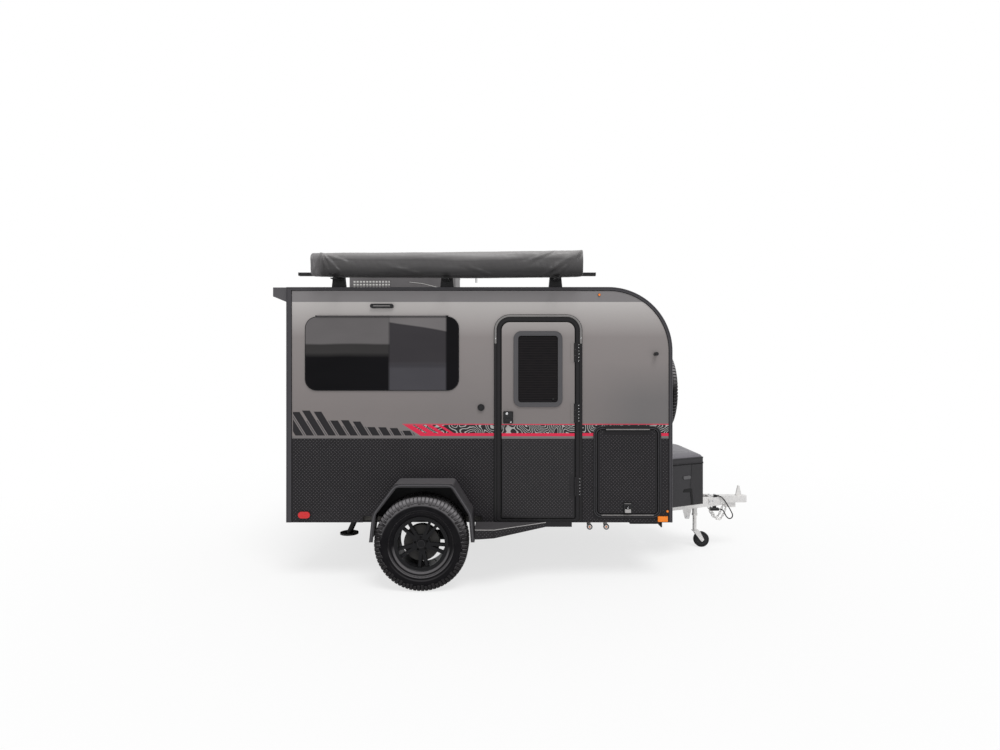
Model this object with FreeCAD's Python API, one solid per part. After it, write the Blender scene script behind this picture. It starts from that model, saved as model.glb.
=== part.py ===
import FreeCAD, Part
import math
import os

V = FreeCAD.Vector

# Overall plan: +X is forward, +Y is the left side, the ground is at height zero
body_length = 3075.0
tongue_reach = 976.0
hood_reach = 112.0
body_width = 1980.0
body_bottom = 475.0
body_height = 1874.0
nose_radius = 510.0
wall = 32.0
shell = 40.0
floor_thickness = 50.0
rail_top = 485.0
rail_height = 80.0
rail_width = 60.0
rail_half_track = 700.0
cross_count = 4
axle_from_rear = 1100.0
overrun = 4.0
fit = 0.3
door_gap = 6.0

length = body_length + tongue_reach + hood_reach
rear_x = hood_reach - length / 2
front_x = rear_x + body_length
tip_x = front_x + tongue_reach
side_y = body_width / 2
inner_y = side_y - wall
top_z = body_bottom + body_height
rail_bottom = rail_top - rail_height
axle_x = rear_x + axle_from_rear
floor_top = rail_top + floor_thickness

# Lower skin, edge trims and the stripe zone
skin = 3.0
skin_top = 1143.0
trim = 5.0
post_trim = 40.0
edge_trim = 24.0
skirt_notch_rear = 610.0
skirt_notch_front = 1560.0
skirt_notch_top = 524.0
skin_y = side_y + skin

# Side window, from the rear of the body to the entry door
window_from_rear = 149.0
window_to_entry = 279.0
window_below_roof = 234.0
window_height = 591.0
window_corner = 95.0
window_lap = 22.0
pane = 8.0
rail_over_window = 8.0

# Doors share one frame section and one hinge
frame_proud = 12.0
frame_lining = 8.0
pin_radius = 4.0
knuckle_radius = 8.0
hinge_plate = 3.0
hinge_plate_width = 34.0

# Entry door
entry_to_luggage = 90.0
entry_frame_width = 701.0
entry_frame_bottom = 480.0
entry_below_roof = 219.0
entry_corner = 125.0
entry_foot_corner = 24.0
entry_opening_foot = 14.0
entry_band = 55.0
entry_sill_band = 27.0
entry_hinge_length = 150.0
entry_hinge_drops = (302.0, 783.0)
entry_hinge_rise = 285.0
door_window_from_edge = 94.0
door_window_width = 388.0
door_window_drop = 132.0
door_window_height = 602.0
door_window_corner = 60.0
door_window_band = 36.0
door_window_proud = 10.0
handle_from_edge = 12.0
handle_width = 78.0
handle_bottom = 1266.0
handle_height = 95.0
handle_depth = 16.0
grip_depth = 14.0
grip_width = 22.0
catch_from_front = 134.0
catch_below_roof = 532.0
catch_radius = 15.0
catch_depth = 46.0

# Luggage doors
luggage_from_front = 91.0
luggage_width = 538.0
luggage_bottom = 516.0
luggage_top = 1243.0
luggage_corner = 65.0
luggage_band = 26.0
luggage_hinge_length = 350.0
latch_width = 64.0
latch_height = 77.0
latch_depth = 12.0
latch_rise = 8.0
latch_paddle = 26.0

# Rear hatch
hatch_side_inset = 110.0
hatch_bottom = 1120.0
hatch_below_roof = 159.0
hatch_corner = 45.0
hatch_band = 30.0
hatch_hinge_length = 150.0
hatch_hinge_inset = 240.0
hatch_latch_width = 120.0
hatch_latch_height = 60.0

# Hood over the hatch
hood_depth = 118.0
hood_lip = 72.0
hood_side_inset = 15.0

# Wheels and axle
tyre_radius = 362.0
tyre_width = 225.0
tyre_shoulder = 34.0
tyre_gap = 13.0
rim_seat = 190.0
rim_flange = 208.0
rim_wall = 9.0
rim_width = 184.0
rim_flange_width = 9.0
spoke_angles = (-85.0, -157.0, -13.0, 59.0, 131.0)
spoke_spread = 9.5
spoke_width = 27.0
spoke_end_share = 0.8
stud_circle = 49.0
stud_turn = 36.0
stud_hole = 9.0
stud_depth = 18.0
spoke_depth = 30.0
spoke_setback = 16.0
hub_radius = 66.0
cap_radius = 33.0
cap_proud = 14.0
drum_radius = 138.0
drum_length = 62.0
spindle_radius = 20.0
arm_width = 40.0
arm_height = 70.0
beam_size = 76.0
arm_length = 150.0
arm_to_wheel = 210.5

# Fenders, by their gaps from the tyre and their places from the axle
fender_width = 247.0
fender_top_gap = 104.0
fender_bottom_rise = 23.0
fender_front_gap = 47.0
fender_rear_gap = 28.0
fender_front_shoulder_gap = 30.0
fender_rear_shoulder_gap = 5.0
fender_shoulder_rise = 232.0
fender_front_top = 245.0
fender_rear_top = 195.0
fender_sheet = 5.0
fender_lip = 28.0
fender_round = 34.0

# Step plate ahead of each fender
step_square = 148.0
step_taper_end = 557.0
step_length = 764.0
step_thin = 12.0
step_rear_bottom = 407.0
step_front_bottom = 443.0

# Tongue and coupler
tongue_angle = 24.0
tongue_rail_width = 50.0
coupler_half_width = 45.0
coupler_length = 372.0
apex_setback = 249.0
coupler_top = 490.0
coupler_height = 60.0
coupler_round = 40.0
ball_radius = 25.9
ball_depth = 42.0
ball_setback = 57.0
keel_length = 100.0
keel_setback = 109.0
keel_drop = 50.0
keel_width = 36.0
lever_length = 53.0
lever_setback = 47.5
lever_height = 92.0
lever_tip = 12.0
lever_width = 26.0
lever_sheet = 8.0
tongue_rear_reach = 280.0
hanger_setback = 618.0
hanger_length = 84.0
hanger_drop = 96.0
hanger_sheet = 8.0
hanger_foot_share = 0.45

# Jack and its caster
jack_setback = 492.0
jack_tube = 23.0
jack_inner = 18.0
jack_tube_bottom = 300.0
jack_top = 850.0
jack_head = 31.0
jack_head_height = 60.0
jack_flange = 62.0
jack_flange_thickness = 10.0
jack_collar = 31.0
jack_collar_drop = 5.0
jack_collar_height = 30.0
crank_reach = 110.0
crank_radius = 7.0
crank_throw = 110.0
crank_turn_share = 0.3
crank_grip = 13.0
crank_grip_length = 30.0
caster_trail = 62.0
caster_radius = 72.0
caster_width = 44.0
caster_tyre = 22.0
fork_sheet = 5.0
fork_gap = 5.0
king_pin = 10.0
yoke_thickness = 8.0
caster_bolt = 7.0
fork_width = 40.0

# Stabilizers
leg_tube = 22.0
rear_leg_from_rear = 500.0
leg_run = 46.0
pad_radius = 75.0
pad_thickness = 9.0
rear_pad_height = 333.0
leg_from_rail = 90.0
leg_bracket_width = 90.0
front_leg_from_front = 300.0
front_leg_length = 250.0
front_leg_drop = 45.0

# Storage box on the tongue, between the front wall and the jack
box_from_wall = 57.0
box_to_jack = 34.0
box_front_half = 353.0
box_rear_half = 547.0
box_wall = 9.0
box_seam = 855.0
box_rim = 52.0
box_rim_lip = 4.0
box_crown = 38.0
box_crown_inset = 132.0
box_crown_corner = 30.0
box_crown_shares = (0.0, 0.06, 0.2, 0.42, 0.7, 1.0)
box_hinge_length = 120.0
box_hinge_spread = 300.0

# Spare wheel on the front wall
spare_over_box = 182.7
spare_standoff = 10.0
spare_post = 40.0
spare_plate = 260.0
spare_plate_thickness = 8.0

# Roof equipment
roof_rail_from_rear = 90.0
roof_rail_from_nose = 97.0
roof_rail_height = 24.0
roof_rail_depth = 44.0
roof_rail_inset = 12.0
foot_inset = 322.0
foot_height = 95.0
foot_length = 108.0
foot_top_share = 0.82
foot_depth = 52.0
bag_rear_inset = 139.0
bag_front_inset = 119.0
bag_below_rail = 40.0
bag_height = 218.0
bag_depth = 150.0
bag_round = 58.0
bag_bracket_width = 44.0
bag_bracket_sheet = 6.0
cooler_from_rear = 340.0
cooler_length = 960.0
cooler_half_width = 350.0
cooler_height = 300.0
cooler_round = 45.0
cooler_grille_length = 342.0
cooler_hole_pitch = 28.5
cooler_hole = 19.0
cooler_hole_height = 15.6
cooler_hole_depth = 16.0
cooler_hole_rows = 4
cooler_row_pitch = 26.0

# Lamps and small fittings
porch_length = 186.0
porch_over_window = 66.0
porch_height = 34.0
porch_depth = 22.0
side_lamp_length = 78.0
side_lamp_bottom = 484.0
side_lamp_height = 42.0
side_lamp_depth = 18.0
dot_radius = 9.0
dot_depth = 9.0
dot_front_inset = 41.0
dot_low = 556.0
dot_high_inset = 582.0
dot_below_roof = 61.0
tail_from_rear = 97.0
tail_length = 94.0
tail_bottom = 510.0
tail_height = 52.0
tail_depth = 14.0
stop_side_inset = 190.0
stop_length = 150.0
stop_height = 90.0
stop_bottom = 640.0
inlet_to_entry = 104.0
inlet_height = 1391.0
inlet_radius = 27.0
inlet_depth = 14.0
drain_from_front = (633.0, 495.5)
drain_radius = 17.0
drain_drop = 91.0
drain_reach = 62.0
drain_turn_share = 0.45
drain_ring = 24.0
drain_ring_height = 12.0

# Chains and cable on the tongue
chain_half_track = 42.0
chain_setback = 352.0
chain_span = 150.0
chain_sag = 128.0
chain_step_share = 0.002
link_length = 34.0
link_width = 20.0
link_wire = 6.0
link_overlap = 1.0
cable_radius = 5.0
cable_turn_share = 0.45
gland_length = 26.0
gland_width = 20.0
plug_length = 77.0
plug_width = 40.0
plug_height = 26.0
clip_length = 30.0
cable_route = (
    (1777.5, -60.0, 496.0), (1812.0, -60.0, 496.0), (1848.0, -68.0, 462.0),
    (1880.0, -75.0, 408.0), (1908.0, -78.0, 358.0), (1927.0, -79.0, 318.0),
    (1914.0, -79.0, 288.0), (1886.0, -78.0, 284.0), (1862.0, -77.0, 308.0),
    (1847.0, -75.0, 346.0), (1824.0, -74.0, 374.0), (1791.0, -74.0, 374.0))

# Places that follow from the sizes above
entry_frame_top = top_z - entry_below_roof
hatch_top = top_z - hatch_below_roof
window_top = top_z - window_below_roof
luggage_frame_x = (front_x - luggage_from_front - luggage_width, front_x - luggage_from_front)
luggage_frame_z = (luggage_bottom, luggage_top)
entry_frame_x = (luggage_frame_x[0] - entry_to_luggage - entry_frame_width,
                 luggage_frame_x[0] - entry_to_luggage)
entry_frame_z = (entry_frame_bottom, entry_frame_top)
window_x = (rear_x + window_from_rear, entry_frame_x[0] - window_to_entry)
window_z = (window_top - window_height, window_top)
entry_corners = (entry_corner, entry_foot_corner)
entry_opening_corners = (entry_corner - entry_band, entry_opening_foot)
luggage_corners = (luggage_corner, luggage_corner)
luggage_opening_corners = (luggage_corner - luggage_band, luggage_corner - luggage_band)
hatch_half_width = side_y - hatch_side_inset
hatch_hinge_spread = hatch_half_width - hatch_hinge_inset
hood_half_width = side_y - hood_side_inset
stop_half_track = side_y - stop_side_inset
leaf_outer_y = side_y + frame_proud
pin_y = leaf_outer_y + knuckle_radius
wheel_y = side_y + tyre_gap + tyre_width / 2
beam_half_length = wheel_y - arm_to_wheel
fender_front = tyre_radius + fender_front_gap
fender_rear = tyre_radius + fender_rear_gap
fender_top = 2 * tyre_radius + fender_top_gap
fender_bottom = tyre_radius + fender_bottom_rise
fender_shoulder = tyre_radius + fender_shoulder_rise
leg_half_track = rail_half_track + leg_from_rail
front_leg_height = rail_top - front_leg_drop
jack_x = tip_x - jack_setback
caster_x = jack_x + caster_trail
yoke_bottom = 2 * caster_radius + fork_gap
yoke_top = yoke_bottom + yoke_thickness
box_rear_x = front_x + box_from_wall
box_front_x = jack_x - box_to_jack
box_depth = box_front_x - box_rear_x
spare_height = box_seam + fit + box_rim + box_crown + spare_over_box + tyre_radius
roof_rail_x = (rear_x + roof_rail_from_rear, front_x - nose_radius - roof_rail_from_nose)
roof_rail_bottom = top_z + foot_height
bag_bottom = roof_rail_bottom - bag_below_rail


def block(x_span, y_span, z_span):
    """A box between two heights, two stations and two offsets."""
    corner = V(min(x_span), min(y_span), min(z_span))
    return Part.makeBox(abs(x_span[1] - x_span[0]), abs(y_span[1] - y_span[0]),
                        abs(z_span[1] - z_span[0]), corner)


def rod(radius, start, end):
    """A round bar between two points."""
    run = end - start
    return Part.makeCylinder(radius, run.Length, start, run)


def fuse(shapes):
    """One solid from pieces that touch."""
    whole = shapes[0]
    for extra in shapes[1:]:
        whole = whole.fuse(extra)
    return whole.removeSplitter()


def mirror(shape):
    """The same piece on the other side of the centreline."""
    return shape.mirror(V(0, 0, 0), V(0, 1, 0))


def edges_along(shape, axis):
    """Edges of a solid that run along one direction."""
    found = []
    for edge in shape.Edges:
        if len(edge.Vertexes) == 2:
            run = edge.Vertexes[1].Point - edge.Vertexes[0].Point
            if run.Length > 0 and abs(run.normalize().dot(axis)) > math.cos(math.radians(1)):
                found.append(edge)
    return found


def rounded(x_span, y_span, z_span, radius, foot=None):
    """A panel that faces sideways, its corners rounded, the lower two by a foot radius if given."""
    panel = block(x_span, y_span, z_span)
    if foot is None or foot == radius:
        return panel.makeFillet(radius, edges_along(panel, V(0, 1, 0)))
    middle = (z_span[0] + z_span[1]) / 2
    upper = [edge for edge in edges_along(panel, V(0, 1, 0)) if edge.BoundBox.ZMin > middle]
    panel = panel.makeFillet(radius, upper)
    lower = [edge for edge in edges_along(panel, V(0, 1, 0)) if edge.BoundBox.ZMax < middle]
    return panel.makeFillet(foot, lower)


def grown(corners, step):
    """The upper and lower corner radii of a panel that is larger all round by a step."""
    return [corner + step for corner in corners]


def prism(points, offset):
    """A flat outline pushed along a direction."""
    wire = Part.makePolygon(points + points[:1])
    return Part.Face(wire).extrude(offset)


def save(name, shape):
    """Write one piece to its file."""
    if isinstance(shape, (list, tuple)):
        shape = Part.makeCompound(list(shape))
    solids = shape.Solids
    assert solids, name
    assert all(solid.isValid() and solid.Volume > 0 for solid in solids), name
    shape.exportStep("parts/" + name + ".step")


def body_face(inset, y, rear_inset=None, bottom=None):
    """The side outline of the body, drawn in by an inset."""
    rear_inset = inset if rear_inset is None else rear_inset
    low = body_bottom if bottom is None else bottom
    rear, front, top = rear_x + rear_inset, front_x - inset, top_z - inset
    radius = nose_radius - inset
    centre = V(front - radius, y, top - radius)
    half = math.radians(45)
    middle = centre + V(radius * math.cos(half), 0, radius * math.sin(half))
    start, end = V(front - radius, y, top), V(front, y, top - radius)
    edges = [Part.LineSegment(V(rear, y, low), V(rear, y, top)).toShape(),
             Part.LineSegment(V(rear, y, top), start).toShape(),
             Part.Arc(start, middle, end).toShape(),
             Part.LineSegment(end, V(front, y, low)).toShape(),
             Part.LineSegment(V(front, y, low), V(rear, y, low)).toShape()]
    return Part.Face(Part.Wire(edges))


def hinge_halves(centre, length_along, along, across, outward):
    """The fixed half with its pin, and the swinging half, of one butt hinge."""
    third = length_along / 6
    half = length_along / 2
    low, high = V(0, 0, -half), V(0, 0, half)
    middle_low, middle_high = V(0, 0, -third), V(0, 0, third)
    clear = V(0, 0, fit)
    start = knuckle_radius + 2 * fit
    fixed = [rod(pin_radius, low, high),
             rod(knuckle_radius, low, middle_low - clear),
             rod(knuckle_radius, middle_high + clear, high),
             block((start, hinge_plate_width), (knuckle_radius - hinge_plate, knuckle_radius),
                   (-half, half)),
             block((0, start), (knuckle_radius - hinge_plate, knuckle_radius),
                   (-half, -third - fit)),
             block((0, start), (knuckle_radius - hinge_plate, knuckle_radius),
                   (third + fit, half))]
    bore = rod(pin_radius + fit, low, high)
    swing = fuse([rod(knuckle_radius, middle_low, middle_high),
                  block((-start, 0), (knuckle_radius - hinge_plate, knuckle_radius),
                        (-third, third)),
                  block((-hinge_plate_width, -start),
                        (knuckle_radius - hinge_plate, knuckle_radius), (-half, half))])
    turn = FreeCAD.Rotation(across, -outward, along, "XYZ")
    place = FreeCAD.Placement(centre, turn)
    halves = [fuse(fixed), swing.cut(bore)]
    for shape in halves:
        shape.Placement = place
    return halves


def entry_spans(inset):
    """Stations and heights of the entry opening, drawn in by an inset."""
    rear, front = entry_frame_x
    return ((rear + entry_band + inset, front - entry_band - inset),
            (entry_frame_bottom + entry_sill_band + inset, entry_frame_top - entry_band - inset))


def luggage_spans(inset):
    """Stations and heights of a luggage opening, drawn in by an inset."""
    rear, front = luggage_frame_x
    return ((rear + luggage_band + inset, front - luggage_band - inset),
            (luggage_bottom + luggage_band + inset, luggage_top - luggage_band - inset))


def door_frame(outer_x, outer_z, outer_corners, opening_x, opening_z, opening_corners):
    """A frame that laps the wall outside and lines the hole through it."""
    face_y = (-side_y - frame_proud, -side_y)
    band = rounded(outer_x, face_y, outer_z, *outer_corners)
    lining_x = (opening_x[0] - frame_lining, opening_x[1] + frame_lining)
    lining_z = (opening_z[0] - frame_lining, opening_z[1] + frame_lining)
    sleeve = rounded(lining_x, (-side_y, -inner_y), lining_z,
                     *grown(opening_corners, frame_lining))
    hole = rounded(opening_x, (-side_y - frame_proud - overrun, -inner_y + overrun),
                   opening_z, *opening_corners)
    return band.fuse(sleeve).cut(hole).removeSplitter()


def wall_hole(opening_x, opening_z, opening_corners):
    """The hole in a side wall that a door frame lines."""
    span_x = (opening_x[0] - frame_lining, opening_x[1] + frame_lining)
    span_z = (opening_z[0] - frame_lining, opening_z[1] + frame_lining)
    return rounded(span_x, (-side_y - skin - overrun, -inner_y + overrun), span_z,
                   *grown(opening_corners, frame_lining))


def side_wall(with_entry):
    """One side wall, drawn on the right."""
    panel = body_face(0, -side_y).extrude(V(0, wall, 0))
    cut_y = (-side_y - overrun, -inner_y + overrun)
    panel = panel.cut(rounded((window_x[0] + window_lap, window_x[1] - window_lap), cut_y,
                              (window_z[0] + window_lap, window_z[1] - window_lap),
                              window_corner - window_lap))
    panel = panel.cut(wall_hole(*luggage_spans(0), luggage_opening_corners))
    if with_entry:
        panel = panel.cut(wall_hole(*entry_spans(0), entry_opening_corners))
    return panel.cut(skirt_notch(cut_y))


def skirt_notch(cut_y):
    """The raised lower edge behind the wheel."""
    return block((rear_x + skirt_notch_rear, rear_x + skirt_notch_front), cut_y,
                 (body_bottom - overrun, skirt_notch_top))


def lower_skin(with_entry):
    """The tread-plate skin on the lower part of one side, drawn on the right."""
    face = body_face(edge_trim, -side_y, post_trim, body_bottom)
    sheet = face.extrude(V(0, -skin, 0))
    cut_y = (-side_y - skin - overrun, -side_y + overrun)
    sheet = sheet.cut(block((rear_x, front_x), cut_y, (skin_top, top_z + overrun)))
    sheet = sheet.cut(rounded(luggage_frame_x, cut_y, luggage_frame_z, *luggage_corners))
    if with_entry:
        sheet = sheet.cut(rounded(entry_frame_x, cut_y, entry_frame_z, *entry_corners))
    return sheet.cut(skirt_notch(cut_y))


def edge_band():
    """The dark trim that follows the edge of one side, drawn on the right."""
    outer = body_face(0, -side_y).extrude(V(0, -trim, 0))
    inner = body_face(edge_trim, -side_y + overrun, post_trim, body_bottom - overrun)
    return outer.cut(inner.extrude(V(0, -trim - 2 * overrun, 0)))


def nose_and_roof():
    """The front wall and roof in one curved panel."""
    outer = body_face(0, -inner_y, 0, rail_top).extrude(V(0, 2 * inner_y, 0))
    inner = body_face(shell, -inner_y - overrun, -overrun, rail_top - overrun)
    return outer.cut(inner.extrude(V(0, 2 * (inner_y + overrun), 0)))


def rear_wall():
    """The rear wall with its hatch opening."""
    panel = block((rear_x, rear_x + shell), (-inner_y, inner_y), (body_bottom, top_z - shell))
    hole = block((rear_x - overrun, rear_x + shell + overrun),
                 (-hatch_half_width - frame_lining, hatch_half_width + frame_lining),
                 (hatch_bottom - frame_lining, hatch_top + frame_lining))
    hole = hole.makeFillet(hatch_corner + frame_lining, edges_along(hole, V(1, 0, 0)))
    return panel.cut(hole)


def facing_rear(y_span, z_span, x_span, radius):
    """A panel that faces backwards, with its four corners rounded."""
    panel = block(x_span, y_span, z_span)
    return panel.makeFillet(radius, edges_along(panel, V(1, 0, 0)))


def hatch_frame():
    """The frame round the hatch opening, with the fixed hinge halves."""
    half, band = hatch_half_width, hatch_band
    lap = facing_rear((-half - band, half + band), (hatch_bottom - band, hatch_top + band),
                      (rear_x - frame_proud, rear_x), hatch_corner + band)
    sleeve = facing_rear((-half - frame_lining, half + frame_lining),
                         (hatch_bottom - frame_lining, hatch_top + frame_lining),
                         (rear_x, rear_x + shell), hatch_corner + frame_lining)
    hole = facing_rear((-half, half), (hatch_bottom, hatch_top),
                       (rear_x - frame_proud - overrun, rear_x + shell + overrun), hatch_corner)
    pieces = [lap.fuse(sleeve).cut(hole)]
    return fuse(pieces + [pair[0] for pair in hatch_hinges()])


def hatch_hinges():
    """The hinges along the top of the hatch."""
    height = hatch_top - door_gap / 2
    place_x = rear_x - frame_proud - knuckle_radius
    return [hinge_halves(V(place_x, place_y, height), hatch_hinge_length,
                         V(0, 1, 0), V(0, 0, 1), V(-1, 0, 0))
            for place_y in (-hatch_hinge_spread, 0, hatch_hinge_spread)]


def hatch_leaf():
    """The rear hatch, as thick as the wall and its frame."""
    half = hatch_half_width - door_gap
    leaf = facing_rear((-half, half), (hatch_bottom + door_gap, hatch_top - door_gap),
                       (rear_x - frame_proud, rear_x + shell), hatch_corner - door_gap)
    return fuse([leaf] + [pair[1] for pair in hatch_hinges()])


def hatch_latch():
    """The paddle latch at the foot of the hatch."""
    low = hatch_bottom + door_gap + latch_rise
    outer = rear_x - frame_proud
    base = facing_rear((-hatch_latch_width / 2, hatch_latch_width / 2),
                       (low, low + hatch_latch_height), (outer - latch_depth, outer), latch_depth)
    paddle = block((outer - 2 * latch_depth, outer - latch_depth),
                   (-latch_paddle, latch_paddle),
                   (low + latch_depth, low + hatch_latch_height - latch_depth))
    return fuse([base, paddle])


def rear_hood():
    """The hood that reaches out over the hatch."""
    back, lip = rear_x - hood_reach, top_z - hood_lip
    points = [V(rear_x, -hood_half_width, top_z), V(back, -hood_half_width, top_z),
              V(back, -hood_half_width, lip), V(rear_x, -hood_half_width, top_z - hood_depth)]
    return prism(points, V(0, 2 * hood_half_width, 0))


def entry_hinges():
    """The three hinges at the front edge of the entry door."""
    place_x = entry_spans(0)[0][1] - door_gap / 2
    heights = [entry_frame_top - drop for drop in entry_hinge_drops]
    heights.append(entry_frame_bottom + entry_hinge_rise)
    return [hinge_halves(V(place_x, -pin_y, height), entry_hinge_length,
                         V(0, 0, 1), V(1, 0, 0), V(0, -1, 0)) for height in heights]


def entry_frame():
    """The entry door frame with the fixed hinge halves."""
    spans = entry_spans(0)
    frame = door_frame(entry_frame_x, entry_frame_z, entry_corners, *spans,
                       entry_opening_corners)
    return fuse([frame] + [pair[0] for pair in entry_hinges()])


def door_window_spans(inset):
    """Stations and heights of the window in the entry door."""
    left = entry_spans(door_gap)[0][0] + door_window_from_edge + inset
    right = left - 2 * inset + door_window_width
    top = entry_frame_top - door_window_drop
    return ((left, right), (top - door_window_height + inset, top - inset))


def entry_leaf():
    """The entry door with its window hole."""
    spans = entry_spans(door_gap)
    leaf = rounded(spans[0], (-leaf_outer_y, -inner_y), spans[1],
                   *grown(entry_opening_corners, -door_gap))
    hole_x, hole_z = door_window_spans(door_window_band)
    leaf = leaf.cut(rounded(hole_x, (-leaf_outer_y - overrun, -inner_y + overrun), hole_z,
                            door_window_corner - door_window_band))
    return fuse([leaf] + [pair[1] for pair in entry_hinges()])


def door_window_frame():
    """The raised frame round the door window."""
    outer_x, outer_z = door_window_spans(0)
    inner_x, inner_z = door_window_spans(door_window_band)
    face_y = (-leaf_outer_y - door_window_proud, -leaf_outer_y)
    ring = rounded(outer_x, face_y, outer_z, door_window_corner)
    hole = rounded(inner_x, (face_y[0] - overrun, face_y[1] + overrun), inner_z,
                   door_window_corner - door_window_band)
    return ring.cut(hole)


def door_window_glass():
    """The pane in the entry door."""
    inner_x, inner_z = door_window_spans(door_window_band)
    return rounded(inner_x, (-leaf_outer_y, -leaf_outer_y + pane), inner_z,
                   door_window_corner - door_window_band)


def entry_handle():
    """The handle plate and its pull, at the rear edge of the entry door."""
    left = entry_spans(door_gap)[0][0] + handle_from_edge
    outer = -leaf_outer_y - handle_depth
    plate = rounded((left, left + handle_width), (outer, -leaf_outer_y),
                    (handle_bottom, handle_bottom + handle_height), handle_depth / 2)
    pull = rounded((left + handle_depth, left + handle_width - handle_depth),
                   (outer - grip_depth, outer),
                   (handle_bottom + handle_depth, handle_bottom + handle_depth + grip_width),
                   handle_depth / 4)
    return fuse([plate, pull])


def luggage_hinge():
    """The long hinge at the top of a luggage door, drawn on the right."""
    spans = luggage_spans(0)
    middle = (spans[0][0] + spans[0][1]) / 2
    height = spans[1][1] - door_gap / 2
    return hinge_halves(V(middle, -pin_y, height), luggage_hinge_length,
                        V(-1, 0, 0), V(0, 0, 1), V(0, -1, 0))


def luggage_frame():
    """The frame of a luggage door, drawn on the right."""
    frame = door_frame(luggage_frame_x, luggage_frame_z, luggage_corners, *luggage_spans(0),
                       luggage_opening_corners)
    return fuse([frame, luggage_hinge()[0]])


def luggage_leaf():
    """A luggage door, drawn on the right."""
    spans = luggage_spans(door_gap)
    leaf = rounded(spans[0], (-leaf_outer_y, -inner_y), spans[1],
                   *grown(luggage_opening_corners, -door_gap))
    return fuse([leaf, luggage_hinge()[1]])


def luggage_latch():
    """The paddle latch of a luggage door, drawn on the right."""
    spans = luggage_spans(door_gap)
    middle = (spans[0][0] + spans[0][1]) / 2
    low = spans[1][0] + latch_rise
    base = rounded((middle - latch_width / 2, middle + latch_width / 2),
                   (-leaf_outer_y - latch_depth, -leaf_outer_y),
                   (low, low + latch_height), latch_depth / 2)
    paddle = block((middle - latch_paddle / 2, middle + latch_paddle / 2),
                   (-leaf_outer_y - 2 * latch_depth, -leaf_outer_y - latch_depth),
                   (low + latch_depth, low + latch_height - latch_paddle))
    return fuse([base, paddle])


def side_window():
    """The pane of a side window with its hinge rail, drawn on the right."""
    glass = rounded(window_x, (-side_y - pane, -side_y), window_z, window_corner)
    rail = block((window_x[0] + window_corner, window_x[1] - window_corner),
                 (-side_y - 2 * pane, -side_y), (window_z[1], window_z[1] + rail_over_window))
    return fuse([glass, rail])


def tongue_line(x, inset):
    """How far a tongue rail's face lies from the centreline at a station."""
    slope = math.tan(math.radians(tongue_angle))
    return (coupler_half_width - inset / math.cos(math.radians(tongue_angle))
            + (tip_x - apex_setback - x) * slope)


def tongue_rail():
    """One rail of the tongue, drawn on the right."""
    apex = tip_x - apex_setback
    run = tongue_rail_width / math.sin(math.radians(tongue_angle))
    back = front_x - tongue_rear_reach
    points = [V(apex, -coupler_half_width, rail_bottom),
              V(apex - run, -coupler_half_width, rail_bottom),
              V(back, -tongue_line(back, tongue_rail_width), rail_bottom),
              V(back, -tongue_line(back, 0), rail_bottom)]
    middle, half = tip_x - hanger_setback, hanger_length / 2
    face = hanger_sheet / 2 - tongue_line(middle, tongue_rail_width / 2)
    foot = half * hanger_foot_share
    hanger = prism([V(middle - half, face, rail_bottom), V(middle + half, face, rail_bottom),
                    V(middle + foot, face, rail_bottom - hanger_drop),
                    V(middle - foot, face, rail_bottom - hanger_drop)], V(0, -hanger_sheet, 0))
    return fuse([prism(points, V(0, 0, rail_height)), hanger])


def main_rail():
    """One main rail of the chassis, drawn on the right."""
    return block((rear_x + shell, front_x - shell),
                 (-rail_half_track, rail_width - rail_half_track), (rail_bottom, rail_top))


def crossmembers():
    """The members between the main rails, cut where the tongue rails pass."""
    half = rail_half_track - rail_width
    behind_tongue = front_x - tongue_rear_reach - rail_width
    bay = (behind_tongue - rear_x - shell) / cross_count
    places = [rear_x + shell + bay * step for step in range(cross_count)] + [behind_tongue]
    places.append(front_x - shell - rail_width)
    pieces = []
    for place in places:
        bar = block((place, place + rail_width), (-half, half), (rail_bottom, rail_top))
        for rail in (tongue_rail(), mirror(tongue_rail())):
            bar = bar.cut(rail)
        pieces += bar.Solids
    return pieces


def coupler():
    """The coupler with its ball socket open below."""
    back = tip_x - coupler_length
    low = coupler_top - coupler_height
    half = coupler_half_width
    body = block((back, tip_x), (-half, half), (low, coupler_top))
    nose = [edge for edge in edges_along(body, V(0, 0, 1))
            if edge.BoundBox.XMin > tip_x - coupler_round]
    body = body.makeFillet(coupler_round, nose)
    centre = V(tip_x - ball_setback, 0, low)
    socket = rod(ball_radius, centre - V(0, 0, overrun), centre + V(0, 0, ball_depth))
    keel_front = tip_x - keel_setback
    keel = block((keel_front - keel_length, keel_front), (-keel_width / 2, keel_width / 2),
                 (low - keel_drop, low))
    return fuse([body, keel]).cut(socket)


def coupler_latch():
    """The latch lever on top of the coupler."""
    front = tip_x - lever_setback
    foot = block((front - lever_length, front), (-lever_width / 2, lever_width / 2),
                 (coupler_top, coupler_top + lever_sheet))
    middle = front - lever_length / 2
    upright = prism([V(front - lever_length, -lever_width / 2, coupler_top),
                     V(front, -lever_width / 2, coupler_top),
                     V(middle + lever_tip / 2, -lever_width / 2, coupler_top + lever_height),
                     V(middle - lever_tip / 2, -lever_width / 2, coupler_top + lever_height)],
                    V(0, lever_width, 0))
    return fuse([foot, upright])


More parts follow.
